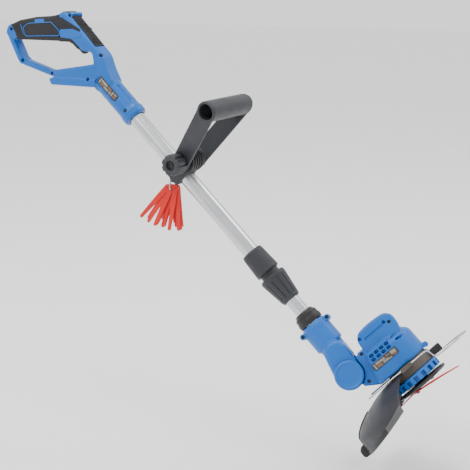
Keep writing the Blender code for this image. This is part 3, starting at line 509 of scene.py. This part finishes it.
def build_grip():
    outline = [(-65, 6.4)] + GRIP_TOP[1:-1] + [(53, 27.4), (53, UNDERSIDE), (-51, UNDERSIDE), (-55, -9)]
    skin = plate(outline, 17, 7, steps=4)
    cutters = [pin((46, 8), 5.4, 8, 30)]
    mesh = softened(carved([skin], cutters), 1.0, 4, parting_line)
    piece("grip_overmould", mesh, BLACK_SOFT, "handle",
          nodes=("grip_cover_right", "grip_cover_left"), crisp=0)
    panel = [(-26.9, -13.5), (-30.3, -5.7), (-31.9, 2.0), (-20.1, 9.2), (33.2, 12.6), (39.4, 7.6), (51, -2.0),
             (50.5, -10.6), (16.3, -11.5)]
    tracks = []
    for side in (-1, 1):
        route = [(x, side * 16.85, z) for x, z in fillet(panel, 4)]
        tracks.append(rod(route, 0.75, closed=True, resolution=2))
        tracks.append(rod([(-38.2, side * 16.6, 8.0), (-35, side * 16.8, 0), (-31.8, side * 16.6, -10.8)], 0.75,
                          resolution=2))
        tracks.append(plate(capsule((-1, 13.6), (15, 14.4), 3.3), 0.9, 0.5, side * 16.6))
        wedge = [(51.7, -3.7), (54, 0.4), (82.0, 2.0), (100.7, -4.9), (98, -12), (76.9, -14.5), (53, -12.6)]
        tracks.append(plate(wedge, 0.7, 0.4, side * 16.9, corner=2))
    piece("grip_piping", joined(tracks), BLUE, "handle")
    # A thin inset inside the piping, and the second soft patch on the nose.
    insets = []
    for side in (-1, 1):
        inner = [(x * 0.955 + 0.5, z * 0.86 - 0.1) for x, z in panel]
        insets.append(plate(inner, 0.35, 0.2, side * 17.0, corner=4))
        patch = [(39.9, 15.0), (48, 20.5), (58.5, 21.0), (68.0, 16.0), (97.9, 1.6), (96.0, -3.0), (82.0, 2.0),
                 (54, 0.6), (44, 8)]
        insets.append(plate(patch, 0.8, 0.5, side * 16.8, corner=3))
    tongue = [(50, -12.8), (64, -13.8), (77, -15.2), (84, -20), (92, -29), (89.5, -32.5), (80, -24.6), (72, -20.9),
              (50, -20.9)]
    insets.append(plate(tongue, 17.2, 1.5))
    piece("grip_insets", joined(insets), BLACK_SOFT, "handle")

    # Ribbed pad on the sloping front of the nose.
    along = Vector((65, -63.8)).normalized()
    out = Vector((-along.y, along.x))
    start = Vector((78, 21.8))
    pad = [start + along * 1 + out * 0.3, start + along * 69 + out * 0.3, start + along * 69 - out * 3,
           start + along * 1 - out * 3]
    crest = [(51, 26.2), (57, 31.0), (68, 31.0), (79.5, 21.6), (76, 17), (66, 24), (56, 24)]
    parts = [plate(pad, 12, 0.6), plate(crest, 12, 1.6, steps=4)]
    for i in range(19):
        foot = start + along * (5 + 3.3 * i)
        half = 10.4
        parts.append(plate([foot - along * 0.8 - out, foot + along * 0.8 - out, foot + along * 0.5 + out * 1.3,
                            foot - along * 0.5 + out * 1.3], half, 0.3))
    piece("nose_pad", joined(parts), BLACK_SOFT, "handle", nodes=("nose_cover",))

    lever = softened(carved([plate(TRIGGER, 5.5, 1.8, corner=3), plate([(60, -19), (66, -21), (73, -25.2),
                     (84, -33.6), (91, -40), (96, -39), (88, -27), (70, -15)], 6.0, 1.5)],
                            [pin((66, -8), 2.3, -9, 9)]), 0.5, 4)
    piece("trigger_lever", lever, BLACK, "trigger_lever", nodes=("trigger",), crisp=0)
    button = lathe([(13.2, 0), (13.2, 4.8), (17.9, 4.8), (18.7, 3.6), (18.2, 0)], (46, 8), "Y", 48, 0.6)
    piece("lock_off_cap", button, RED, "lock_off", nodes=("lock_off_button",))


def label(name, frame_matrix, body, low, high, y, node, bars):
    """A film label with a rounded outline and plain printed bars, at a right-hand face."""
    (x0, z0), (x1, z1) = low, high
    film = plate([(x0, z0), (x1, z0), (x1, z1), (x0, z1)], 0.3, 0.12, y, corner=1.5)
    piece(name, film, LABEL, body, frame_matrix, nodes=(node,))
    inks = ([], [])
    for u0, v0, u1, v1, warm in bars:
        bx0, bx1 = x0 + (x1 - x0) * u0, x0 + (x1 - x0) * u1
        bz0, bz1 = z0 + (z1 - z0) * v0, z0 + (z1 - z0) * v1
        bar = plate([(bx0, bz0), (bx1, bz0), (bx1 + 0.8, bz1), (bx0 + 0.8, bz1)], 0.1, 0, y - 0.32)
        inks[warm].append(bar)
    for ink, parts, look in (("bars", inks[0], SILVER_INK), ("accents", inks[1], COPPER_INK)):
        if parts:
            piece(name + "_" + ink, joined(parts), look, body, frame_matrix)


def build_labels():
    bars = [(0.05, 0.12, 0.1, 0.85, 0), (0.14, 0.55, 0.42, 0.85, 0), (0.14, 0.15, 0.3, 0.42, 1),
            (0.33, 0.15, 0.55, 0.42, 0), (0.46, 0.6, 0.66, 0.85, 1), (0.6, 0.15, 0.68, 0.5, 0),
            (0.72, 0.15, 0.78, 0.85, 0), (0.82, 0.2, 0.94, 0.5, 1), (0.82, 0.62, 0.94, 0.85, 0)]
    label("handle_sticker", SHAFT, "handle", (-93, -3), (-44, 10.5), -16.7, "handle_label", bars)


# ---------------------------------------------------------------- shaft


def build_tubes():
    for name, radius, wall, start, end, body in (("upper_tube", 14, 1.5, -84, 350, "handle"),
                                                 ("lower_tube", 12, 1.3, 110, 503, "lower_shaft")):
        profile = [(start, radius), (end, radius), (end, radius - wall), (start, radius - wall)]
        piece(name + "_skin", lathe(profile, steps=128, corner=0.3), TUBE, body, SHAFT,
              nodes=(name,))


def ribbed(count, depth, start, end, sharp=1.0):
    """A wave for lathe(): grooves that run along the axis between two places."""
    def wave(place, angle, radius):
        if not start < place < end:
            return 0.0
        fade = min(1.0, (place - start) / 2.0, (end - place) / 2.0)
        phase = abs(math.cos(angle * count / 2)) ** sharp
        return -depth * fade * (1 - phase)
    return wave


def slats(profile, gap):
    """A profile with extra points along its long sides, so that a wave has rings to bend."""
    result = []
    for (x0, r0), (x1, r1) in zip(profile, profile[1:] + profile[:1]):
        count = max(1, int(abs(x1 - x0) / gap)) if min(r0, r1) > 15.6 else 1
        result += [(x0 + (x1 - x0) * i / count, r0 + (r1 - r0) * i / count) for i in range(count)]
    return result


def build_couplings():
    collar = [(355, 14.3), (355, 20.0), (353, 21.6), (314, 19.4), (311, 18.4), (311, 14.3)]
    mesh = lathe(slats(collar, 1.5), steps=240, wave=ribbed(40, 0.35, 317, 351, 0.8))
    piece("collar_skin", mesh, GREY, "handle", SHAFT, nodes=("telescope_collar",))
    nut = [(415, 12.5), (415, 15), (411, 17.2), (368, 23.6), (364.5, 23.2), (363, 21.6), (363, 17.4), (372, 17.4),
           (376, 15.8), (384, 15.6), (406, 14.4), (407, 12.5)]
    mesh = lathe(slats(nut, 1.2), steps=288, wave=ribbed(12, 2.1, 371, 410, 0.55))
    piece("nut_skin", mesh, GREY, "twist_lock", SHAFT, nodes=("twist_lock_nut",))
    sleeve = [(466, 17), (466, 20.6), (465, 21.4), (460, 21.9), (453, 20.2), (451.5, 20.6), (449.5, 20.4),
              (446, 17.0), (443, 15.8), (443, 12.3), (450, 12.3), (450, 17)]
    piece("sleeve_skin", lathe(sleeve, steps=96, corner=0.5), BLACK, "release", SHAFT,
          nodes=("release_sleeve",))


# ---------------------------------------------------------------- second handle

PIVOT, BAR = (122.5, 24.0), (112.3, 142.0)


def build_clamp():
    outline = [(104, -15), (108, -19), (137, -19), (141, -15), (141, 10), (138, 30), (130, 40), (115, 40),
               (107, 30), (104, 10)]
    solids = [plate(outline, 17, 3, corner=3),
              plate([(118, -17), (130, -17), (130, -24), (126, -27), (122, -27), (118, -24)], 2.5, 0.6, -5, corner=2)]
    cutters = [lathe([(150, 0), (150, 14.3), (95, 14.3), (95, 0)]), block((90, -1, -30), (150, 1, -10)),
               pin(PIVOT, 3.8, -30, 30), pin((124, -22.5), 2.1, -12, 2)]
    mesh = softened(carved(solids, cutters), 0.8, 3)
    piece("clamp_block", mesh, GREY, "clamp", SHAFT, nodes=("aux_clamp",), crisp=0)
    ribs = [(-17.2, 4.2)]
    for i in range(5):
        y = -17.2 + 7.4 * i
        ribs += [(y, 19.4), (y + 0.6, 20.2), (y + 2.6, 20.2), (y + 3.2, 19.4), (y + 3.4, 16.4), (y + 7.2, 16.4)]
    ribs = ribs[:-2] + [(17.2, 16.4), (17.2, 4.2)]
    piece("clamp_bellows", lathe(ribs, PIVOT, "Y", 96), BLACK, "clamp", SHAFT)
    for name, side in (("right", -1), ("left", 1)):
        profile = [(side * 17.3, 3.9), (side * 17.3, 15.4)]
        for radius in (15.4, 12.8, 10.2, 7.6):
            profile += [(side * 22.8, radius), (side * 22.8, radius - 1.3), (side * 21.2, radius - 1.5),
                        (side * 21.2, radius - 2.4)]
        profile += [(side * 22.8, 5.0), (side * 22.8, 3.9)]
        mesh = lathe(profile, PIVOT, "Y", 72, 0.15)
        piece("rosette_skin_" + name, mesh, BLACK, "clamp", SHAFT, nodes=("rosette_" + name,))


def leaning_arm(side):
    """A flat arm that leans outwards from the pivot up to the end of the hand bar."""
    outline = belt(PIVOT, 16.4, BAR, 16.6, 28)
    grid = bmesh.new()
    grid.from_mesh(plate(outline, 2.75, 0.9))
    foot, top = 26.5, 58.25
    for vertex in grid.verts:
        share = (vertex.co.z / MM - PIVOT[1]) / (BAR[1] - PIVOT[1])
        vertex.co.y += side * (foot + (top - foot) * share) * MM
    return new_mesh("arm", grid)


def build_d_handle():
    solids = [lathe([(61, 0), (61, 17.5), (-61, 17.5), (-61, 0)], BAR, "Y", 96, 0.8)]
    for side in (-1, 1):
        solids += [leaning_arm(side), pin(PIVOT, 16.5, side * 23.3, side * 32)]
    cutters = [pin(BAR, 12.8, -80, 80, steps=64), pin(PIVOT, 3.8, -45, 45), pin(PIVOT, 22, -23.3, 23.3),
               pin(PIVOT, 7, 32, 60), pin(PIVOT, 19.2, -70, -32, steps=48)]
    mesh = softened(carved(solids, cutters), 1.0, 3)
    piece("d_handle_skin", mesh, GREY, "front_handle", SHAFT, nodes=("d_handle",), crisp=0)

    def flutes(place, angle, radius):
        if radius < 10:
            return 0.0
        return -2.2 * max(0.0, math.cos(angle * 8)) ** 1.5
    profile = [(-32.4, 3.8), (-32.4, 16.8), (-33.4, 17.8), (-54.5, 18.2), (-57, 17.4), (-58, 15.8), (-58, 10.2),
               (-57, 8.6), (-52, 7.6), (-52, 3.8)]
    mesh = lathe(profile, PIVOT, "Y", 192, wave=flutes)
    piece("knob_skin", mesh, GREY, "knob", SHAFT, nodes=("clamp_knob",))


def build_spares():
    point = SHAFT @ (Vector((124, 0, -22.5)) * MM) / MM
    x, top, hoop_r, hoop_y = point.x, point.z, 10.0, -5.0
    hoop = [(x, hoop_y + hoop_r * math.sin(math.tau * i / 48), top - hoop_r + hoop_r * math.cos(math.tau * i / 48))
            for i in range(48)]
    piece("hoop_skin", rod(hoop, 1.0, closed=True), STEEL, "spares", nodes=("spare_blade_ring",))
    count = 18
    for i in range(count):
        order = (i * 7 % count) / (count - 1)
        lean = math.radians(-40 + 44 * order + RNG.uniform(-3, 3))
        tilt = math.radians(-20 + 40 * i / (count - 1))
        foot = Vector((x - 9 + 20 * order, hoop_y + (hoop_r - 0.2) * math.sin(tilt),
                       top - 4 - (hoop_r - 0.2) * math.cos(tilt)))
        outline = arc((0, 0), 5.0, 0, 180, 14) + [(-4.6, -30), (-3.1, -73), (-2.2, -75), (2.2, -75), (3.1, -73),
                                                  (4.6, -30)]
        mesh = plate(outline, 0.75, 0.3, hole=arc((0, 0), 2.2, 0, -360, 16))
        grid = bmesh.new()
        grid.from_mesh(mesh)
        bmesh.ops.triangulate(grid, faces=[f for f in grid.faces if len(f.verts) > 4])
        cuts = [e for e in grid.edges if e.calc_length() > 0.012]
        bmesh.ops.subdivide_edges(grid, edges=cuts, cuts=5)
        bow, twist = RNG.uniform(-5, 5), RNG.uniform(-0.5, 0.5)
        for vertex in grid.verts:
            down = max(0.0, -vertex.co.z / MM / 75)
            turn = Matrix.Rotation(twist * down, 3, "Z")
            vertex.co = turn @ vertex.co
            vertex.co.y += bow * down ** 2 * MM
        mesh = new_mesh("blade", grid)
        mesh.transform(Matrix.Translation(foot * MM) @ Matrix.Rotation(-lean, 4, "Y")
                       @ Matrix.Rotation(tilt * 0.6, 4, "X"))
        nodes = ("spare_blade_1", "spare_blade_2", "spare_blade_3", "spare_blade_4") if i == 0 else ()
        piece("spare_%02d" % (i + 1), mesh, RED, "spares", nodes=nodes, crisp=40)


# ---------------------------------------------------------------- neck and tilt joint

TILT, KNUCKLE_R = (569.5, -6.6), 24.0


def build_neck():
    profile = [(548, 0), (548, 20.5), (514, 20.5), (512, 24.0), (510.5, 24.5), (472.5, 24.5), (470.5, 21.6),
               (467, 21.5), (467, 0)]
    solids = [lathe(profile, steps=96, corner=0.8), plate(belt((528, 0), 19.8, TILT, KNUCKLE_R, 36), 30, 8, steps=5)]
    for side in (-1, 1):
        solids.append(pin((475, side * 25.5), 5.2, -15, 15))
    room = KNUCKLE_R + 1
    cutters = [plate(belt(TILT, room, (600, 42), 42.0, 24), 16.1),
               plate(belt(TILT, room, (640, -40), 40.0, 24), 16.1),
               lathe([(506, 0), (506, 12.3), (472, 12.3), (472, 16), (460, 16), (460, 0)]),
               lathe([(550, 0), (550, 5), (500, 5), (500, 0)], steps=24),
               pin(TILT, 4.3, -40, 26), pin(TILT, 20.6, -60, -19.5, steps=72),
               pin((475, 25.5), 2.9, -30, -9), pin((475, -25.5), 2.9, -30, -9)]
    mesh = softened(carved(solids, cutters), 1.0, 4, parting_line)
    piece("neck_body", mesh, BLUE, "neck", HEADF, nodes=("neck_shell_right", "neck_shell_left"),
          crisp=0)
    # The release button is a thick dished cap that covers the whole knuckle.
    cap = [(-24, 0), (-24, 20), (-33.4, 20), (-33.6, 23.2), (-34.4, 23.9), (-36.2, 24), (-37.8, 23.2), (-38.6, 21.4),
           (-38.3, 19.8), (-37.4, 18.4), (-36.9, 10), (-36.8, 0)]
    piece("tilt_button_skin", lathe(cap, TILT, "Y", 144, 0.7), BLUE, "tilt_release", HEADF,
          nodes=("tilt_button",))


# ---------------------------------------------------------------- motor head

MOTOR_Z = 74.0
CAP = [(528, 46), (526, 62), (526.5, 80), (528.5, 98.7), (537.5, 107.7), (551.4, 107.5), (570, 103), (570, 40),
       (551, 36), (537, 37.5)]
BODY = [(562, 35), (562, 76), (613, 76), (613, 23), (605, 23.5)]
FOOT = [(551, 27), (556, 18), (592, -1), (599, 1), (612, 21), (612.6, 34), (562, 44), (552, 38)]


def build_head():
    barrel = [(558, 0), (558, 28), (563, 31), (570, 38.5), (575, 40.5), (607, 40.5), (611, 39.8), (613, 38.5), (613, 0)]
    solids = [plate(CAP, 30, 4, corner=9, steps=3), plate(BODY, 40.5, 3, steps=3),
              plate(FOOT, 28, 2.5), lathe(barrel, (0, MOTOR_Z), steps=96, corner=1.5),
              pin((610, 117), 4.6, -12, 12, steps=32)]
    room = belt((528, 0), 20.5, TILT, KNUCKLE_R + 0.9, 36)
    clear = [plate(room, 25, y=side * 40.7) for side in (-1, 1)]
    lug = plate(belt(TILT, 21.5, (588, 36), 18.0), 15.5, 1.5)
    cutters = [pin(TILT, 4.3, -40, 40), pin((610.5, 117), 1.3, -20, 20),
               lathe([(620, 0), (620, 36), (601, 36), (601, 24), (541, 24), (541, 0)], (0, MOTOR_Z))]
    for side in (-1, 1):
        # Vent grid: two rows of rectangular windows, then the two slots near the front shoulder.
        for row, x in enumerate((566.6, 573.4)):
            for i in range(4):
                u = 37 + 10.2 * i - row * 1.0
                low, high = sorted((side * 34, side * 60))
                cutters.append(block((x, low, u), (x + 4.9, high, u + 7.4)))
        for start, end in (((566.8, 83.5), (567.2, 93)), ((574, 87.5), (576.2, 102.5))):
            cutters.append(plate(capsule(start, end, 1.7), 8, y=side * 37))
        cutters.append(plate(capsule((543.7, 51), (543.6, 84.5), 2.3), 2.6, y=side * 30.2))
        low, high = sorted((side * 40, side * 60))
        cutters.append(block((580.2, low, 30), (592, high, 79)))
    for centre, y in (((545.8, 97), -30), ((557, 30), -28), ((597, 11), -28), ((537.5, 43), -30), ((541, 90), -30)):
        cutters.append(pin(centre, 2.9, y - 6, y + 6))
    mesh = softened(carved([carved(solids, clear), lug], cutters), 1.0, 4, parting_line)
    piece("head_body", mesh, BLUE, "head", HEADF,
          nodes=("motor_housing_right", "motor_housing_left"), crisp=0)
    bars = [(0.1, 0.05, 0.85, 0.1, 0), (0.12, 0.14, 0.4, 0.5, 0), (0.5, 0.14, 0.85, 0.34, 1),
            (0.5, 0.38, 0.62, 0.6, 0), (0.68, 0.38, 0.85, 0.72, 0), (0.12, 0.56, 0.4, 0.7, 1),
            (0.12, 0.74, 0.6, 0.94, 0), (0.68, 0.78, 0.85, 0.94, 1)]
    label("head_sticker", HEADF, "head", (580.4, 30.5), (592, 78.8), -40.9, "housing_label", bars)
    trims = [rod([(568.6, side * 39.9, 33.8), (604.3, side * 39.9, 24.6)], 0.7, resolution=2) for side in (-1, 1)]
    piece("head_trim", joined(trims), BLUE, "head", HEADF)


# ---------------------------------------------------------------- base, wire and guard

WIRE_X, WIRE_Y = 616.9, 45.5


def build_base():
    wave = ribbed(60, 0.25, 618, 632, 0.8)
    profile = [(633, 8.3), (633, 37.4), (632, 38), (617, 38), (616, 37.6), (613.3, 36.5), (613.3, 34),
               (622, 33.5), (624, 28), (624, 8.3)]
    solids = [lathe(slats(profile, 2), (0, MOTOR_Z), steps=180, wave=wave)]
    cutters = []
    for side in (-1, 1):
        inner, outer = sorted((side * 33.6, side * 49.3))
        solids.append(block((613.8, inner, 60.2), (620.8, outer, 81.8), 0.8))
        cutters.append(rod([(WIRE_X, side * WIRE_Y, 40), (WIRE_X, side * WIRE_Y, 90)], 2.3))
    cutters.append(lathe([(622, 0), (622, 33.5), (605, 34), (605, 0)], (0, MOTOR_Z)))
    piece("base_collar", carved(solids, cutters), BAND, "head", HEADF, nodes=("guard_collar",))
    clip = [block((621, -8, 106), (632.7, 8, 134), 1.5)]
    clip += [block((620.4, -8.6, 117.4 + 3.3 * i), (633.3, 8.6, 119 + 3.3 * i), 0.5) for i in range(5)]
    piece("wire_clip", joined(clip), BLACK, "head", HEADF)

    ring = lathe([(642, 10), (642, 34), (646.5, 34), (646.5, 41.4), (645.9, 42), (634.3, 42), (633.3, 40.8),
                  (633.3, 10)], (0, MOTOR_Z), steps=128)
    teeth = []
    for turn in range(18):
        teeth.append(spun(block((637, 36.4, -3.6), (650, 47, 3.6)), turn * 20 + 4, (0, 0, 0)))
        teeth[-1].transform(Matrix.Translation((0, 0, MOTOR_Z * MM)))
    piece("outlet_skin", carved([ring], teeth), BLUE, "head", HEADF, nodes=("air_outlet_ring",))

    legs = []
    for side in (-1, 1):
        points = [(WIRE_X, -6), (WIRE_X, 40), (WIRE_X, 85), (WIRE_X, 106), (617.2, 110), (618.8, 112.6), (623, 113.6),
                  (629, 114.4), (632.6, 116.2), (634.4, 120), (635, 134)]
        legs.append([(x, side * WIRE_Y, z) for x, z in points])
    arch = [(635, -WIRE_Y * math.cos(a), 134 + 45.4 * math.sin(a)) for a in (math.pi * i / 14 for i in range(1, 14))]
    piece("guard_wire", rod(legs[0] + arch + legs[1][::-1], 1.3, resolution=4, smooth=True), STEEL, "plant_guard",
          HEADF, nodes=("plant_guard_wire",))


SPREAD = math.radians(66)


def rear_share(theta):
    """0 at the guard's front corners and 1 straight back."""
    least = math.cos(SPREAD)
    return max(0.0, (math.cos(theta) - least) / (1 - least))


def guard_row(theta):
    """Points from the guard's collar to its rim at an angle from straight back, as (place, radius)."""
    share = rear_share(theta)
    reach = 116 + 21 * share
    curve = [(622.0, 0.40), (626.1, 0.54), (636.3, 0.763), (643.1, 0.869), (651.4, 0.959), (657.5, 0.993)]
    row = [(621.5, 38.6)] + [(x, part * reach) for x, part in curve] + [(662 + 24 * share, reach + 0.5)]
    return [tuple(p) for p in fillet(row, 6, 3, (0, len(row) - 1))]


def radius_at(row, place):
    """The radius of a row where it passes a place along the axis."""
    for (x0, r0), (x1, r1) in zip(row, row[1:]):
        if x0 <= place <= x1 and x1 > x0:
            return r0 + (r1 - r0) * (place - x0) / (x1 - x0)
    return row[-1][1]


def swept(rows, thickness):
    """A wall through rows of (place, radius, angle from straight back)."""
    grid = bmesh.new()
    lines = [[grid.verts.new(Vector((x, r * math.sin(t), MOTOR_Z - r * math.cos(t))) * MM) for x, r, t in row]
             for row in rows]
    for before, after in zip(lines, lines[1:]):
        for a, b, c, d in zip(before, before[1:], after[1:], after):
            grid.faces.new((a, b, c, d))
    obj = temporary(new_mesh("wall", grid))
    wall = obj.modifiers.new("wall", "SOLIDIFY")
    wall.thickness = thickness * MM
    wall.offset = 0
    wall.use_even_offset = True
    return evaluated(obj)


def build_guard():
    turns = [SPREAD * (i / 48 - 1) for i in range(97)]
    skin = swept([[(x, r, t) for x, r in guard_row(t)] for t in turns], 2.8)
    # A raised spine down the middle, and the foot where it meets the rim.
    middle = [SPREAD * i / 48 for i in range(-4, 5)]
    spine = swept([[(x - 1.6, r + 0.8, t) for x, r in guard_row(t) if r > 80] for t in middle], 2.6)
    foot = plate([(667, -58), (668.2, -70.3), (672.4, -75.1), (682, -76), (686.2, -73.3), (687, -62)], 9, 1.5, corner=1.5)
    piece("guard_skin", joined([skin]), GUARD_GREY, "head", HEADF, nodes=("cutting_guard",))
    piece("guard_spine", joined([spine]), GUARD_GREY, "head", HEADF)
    piece("guard_foot", foot, BLACK, "head", HEADF)
    # The thick lip round the rim is one part in two looks: a paler grey towards the front corners is a painted
    # highlight, and black round the back is painted shade.
    for name, look, sides, low, high in (("front", LIT_LIP_GREY, (-1, 1), 0.72, 1.0), ("back", BLACK, (1,), -0.72, 0.72)):
        for side in sides:
            rows = []
            for i in range(31):
                t = side * SPREAD * (low + (high - low) * i / 30)
                row, share = guard_row(t), rear_share(t)
                start, end = 651.4 + 30 * share, 662.3 + 24 * share
                rows.append([(start + (end - start) * j / 5, radius_at(row, start + (end - start) * j / 5) + 1.2, t)
                             for j in range(6)])
            piece("guard_lip_%s%s" % (name, "_left" if side > 0 and name == "front" else ""), swept(rows, 2.4), look,
                  "head", HEADF)
    ribs = []
    for theta in (-0.7, -0.35, 0.0, 0.35, 0.7):
        row = [(x + 2.8, r) for x, r in guard_row(theta)[3:-3]]
        ribs.append(rod([(x, r * math.sin(theta), MOTOR_Z - r * math.cos(theta)) for x, r in row], 1.2, resolution=2))
    piece("guard_ribs", joined(ribs), GUARD_GREY, "head", HEADF)


def heading(degrees):
    """A unit vector in the plane of the disc, turned from its Z towards -Y."""
    angle = math.radians(degrees)
    return Vector((0, -math.sin(angle), math.cos(angle)))


def build_rotor():
    disc = [(643.5, 0), (643.5, 9), (650, 14), (650, 44.2), (651, 45.7), (652.6, 46), (654, 45.3), (655, 43.5),
            (655, 34), (656.4, 30), (656.6, 12), (655.4, 9), (655.4, 0)]
    solids = [lathe(disc, (0, MOTOR_Z), steps=128)]
    cutters = [lathe([(648.4, 0), (648.4, 2.8), (640, 2.8), (640, 0)], (0, MOTOR_Z), steps=24)]
    spots = [heading(116 + 180 * turn) * 34 + Vector((0, 0, MOTOR_Z)) for turn in range(2)]
    for spot in spots:
        stud = [(660.5, 0), (660.5, 3.2), (659.3, 3.4), (659.2, 2.0), (654, 2.0), (654, 0)]
        solids.append(lathe(stud, (spot.y, spot.z), steps=32))
    piece("disc_skin", carved(solids, cutters), BLACK, "rotor", HEADF, nodes=("cutter_disc",))
    for turn, (body, droop) in enumerate((("blade_a", 10.0), ("blade_b", 6.0))):
        along = heading(8 + 180 * turn)
        outline = arc((0, 0), 6.2, 90, 180, 14) + [(6, -6.0), (30, -4.4), (75, -2.4), (76, 0), (75, 2.4), (30, 4.4),
                                                   (6, 6.0)]
        grid = bmesh.new()
        grid.from_mesh(plate(outline, 0.9, 0.3, hole=arc((0, 0), 2.4, 0, -360, 24)))
        bmesh.ops.triangulate(grid, faces=[f for f in grid.faces if len(f.verts) > 4])
        bmesh.ops.subdivide_edges(grid, edges=[e for e in grid.edges if e.calc_length() > 0.012], cuts=5)
        for vertex in grid.verts:
            vertex.co.y += droop * max(0.0, vertex.co.x / MM / 76) ** 1.5 * MM
        mesh = new_mesh("blade", grid)
        basis = Matrix((along, Vector((1, 0, 0)), along.cross(Vector((1, 0, 0))))).transposed().to_4x4()
        mesh.transform(Matrix.Translation((spots[turn] + Vector((657.4, 0, 0))) * MM) @ basis)
        piece("blade_skin_%d" % (turn + 1), mesh, RED, body, HEADF,
              nodes=("cutting_blade_%d" % (turn + 1),), crisp=40)


# ---------------------------------------------------------------- carried-over CAD nodes

LOOKS = {
    "trigger_pin": STEEL, "trigger_spring": STEEL, "main_switch": BLACK, "battery_terminal_block": BLACK,
    "lock_collet": BLACK, "coiled_lead": BLACK, "clamp_bolt": DARK_STEEL, "tilt_pivot_pin": STEEL,
    "motor_can": STEEL, "motor_shaft": STEEL, "cooling_fan": BLACK, "lower_bearing": STEEL,
}


def dress_nodes():
    for name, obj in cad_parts.items():
        look = DARK_STEEL if "screw" in name else LOOKS.get(name)
        if look:
            for slot in obj.material_slots:
                slot.material = look


# ---------------------------------------------------------------- stage


def aimed(obj, target):
    direction = Vector(target) - obj.location
    obj.rotation_euler = direction.to_track_quat("-Z", "Y").to_euler()


def build_stage():
    nodes = Nodes("pale_floor")
    grain = nodes.ramp(nodes.noise(3, 3), 0.3, 0.7)
    white = nodes.finish(nodes.mix(grain, (0.93, 0.93, 0.93), (0.95, 0.95, 0.95)), 0.9)
    grid = bmesh.new()
    bmesh.ops.create_grid(grid, x_segments=4, y_segments=4, size=14)
    floor = temporary(new_mesh("floor", grid))
    floor.name = "floor"
    floor.location = (0, 0, -0.70)
    floor.data.materials.append(white)
    world = bpy.data.worlds.new("studio")
    world.use_nodes = True
    background = world.node_tree.nodes["Background"]
    background.inputs["Color"].default_value = (1.0, 1.0, 1.0, 1.0)
    background.inputs["Strength"].default_value = 1.35
    bpy.context.scene.world = world
    for name, place, size, power in (("key", (-0.5, -1.9, 1.7), 0.8, 26), ("rim", (1.6, 1.2, 1.6), 1.0, 18),
                                     ("top", (0.1, -0.2, 2.0), 1.0, 26)):
        data = bpy.data.lights.new(name, "AREA")
        data.size = size
        data.energy = power
        lamp = bpy.data.objects.new(name, data)
        bpy.context.scene.collection.objects.link(lamp)
        lamp.location = place
        aimed(lamp, (0.3, 0, -0.25))
    data = bpy.data.cameras.new("camera")
    data.lens = 73.9
    data.sensor_width = 36.0
    data.clip_end = 60.0
    camera = bpy.data.objects.new("camera", data)
    bpy.context.scene.collection.objects.link(camera)
    right, up = Vector((0.8660, 0.5, 0)), Vector((-0.1277, 0.2212, 0.9668))
    back = right.cross(up)
    turn = Matrix((right, up, back)).transposed().to_4x4()
    camera.matrix_world = Matrix.Translation((1.1848, -1.3621, 0.0839)) @ turn
    bpy.context.scene.camera = camera


build_handle()
build_grip()
build_labels()
build_tubes()
build_couplings()
build_clamp()
build_d_handle()
build_spares()
build_neck()
build_head()
build_base()
build_guard()
build_rotor()
dress_nodes()
build_stage()
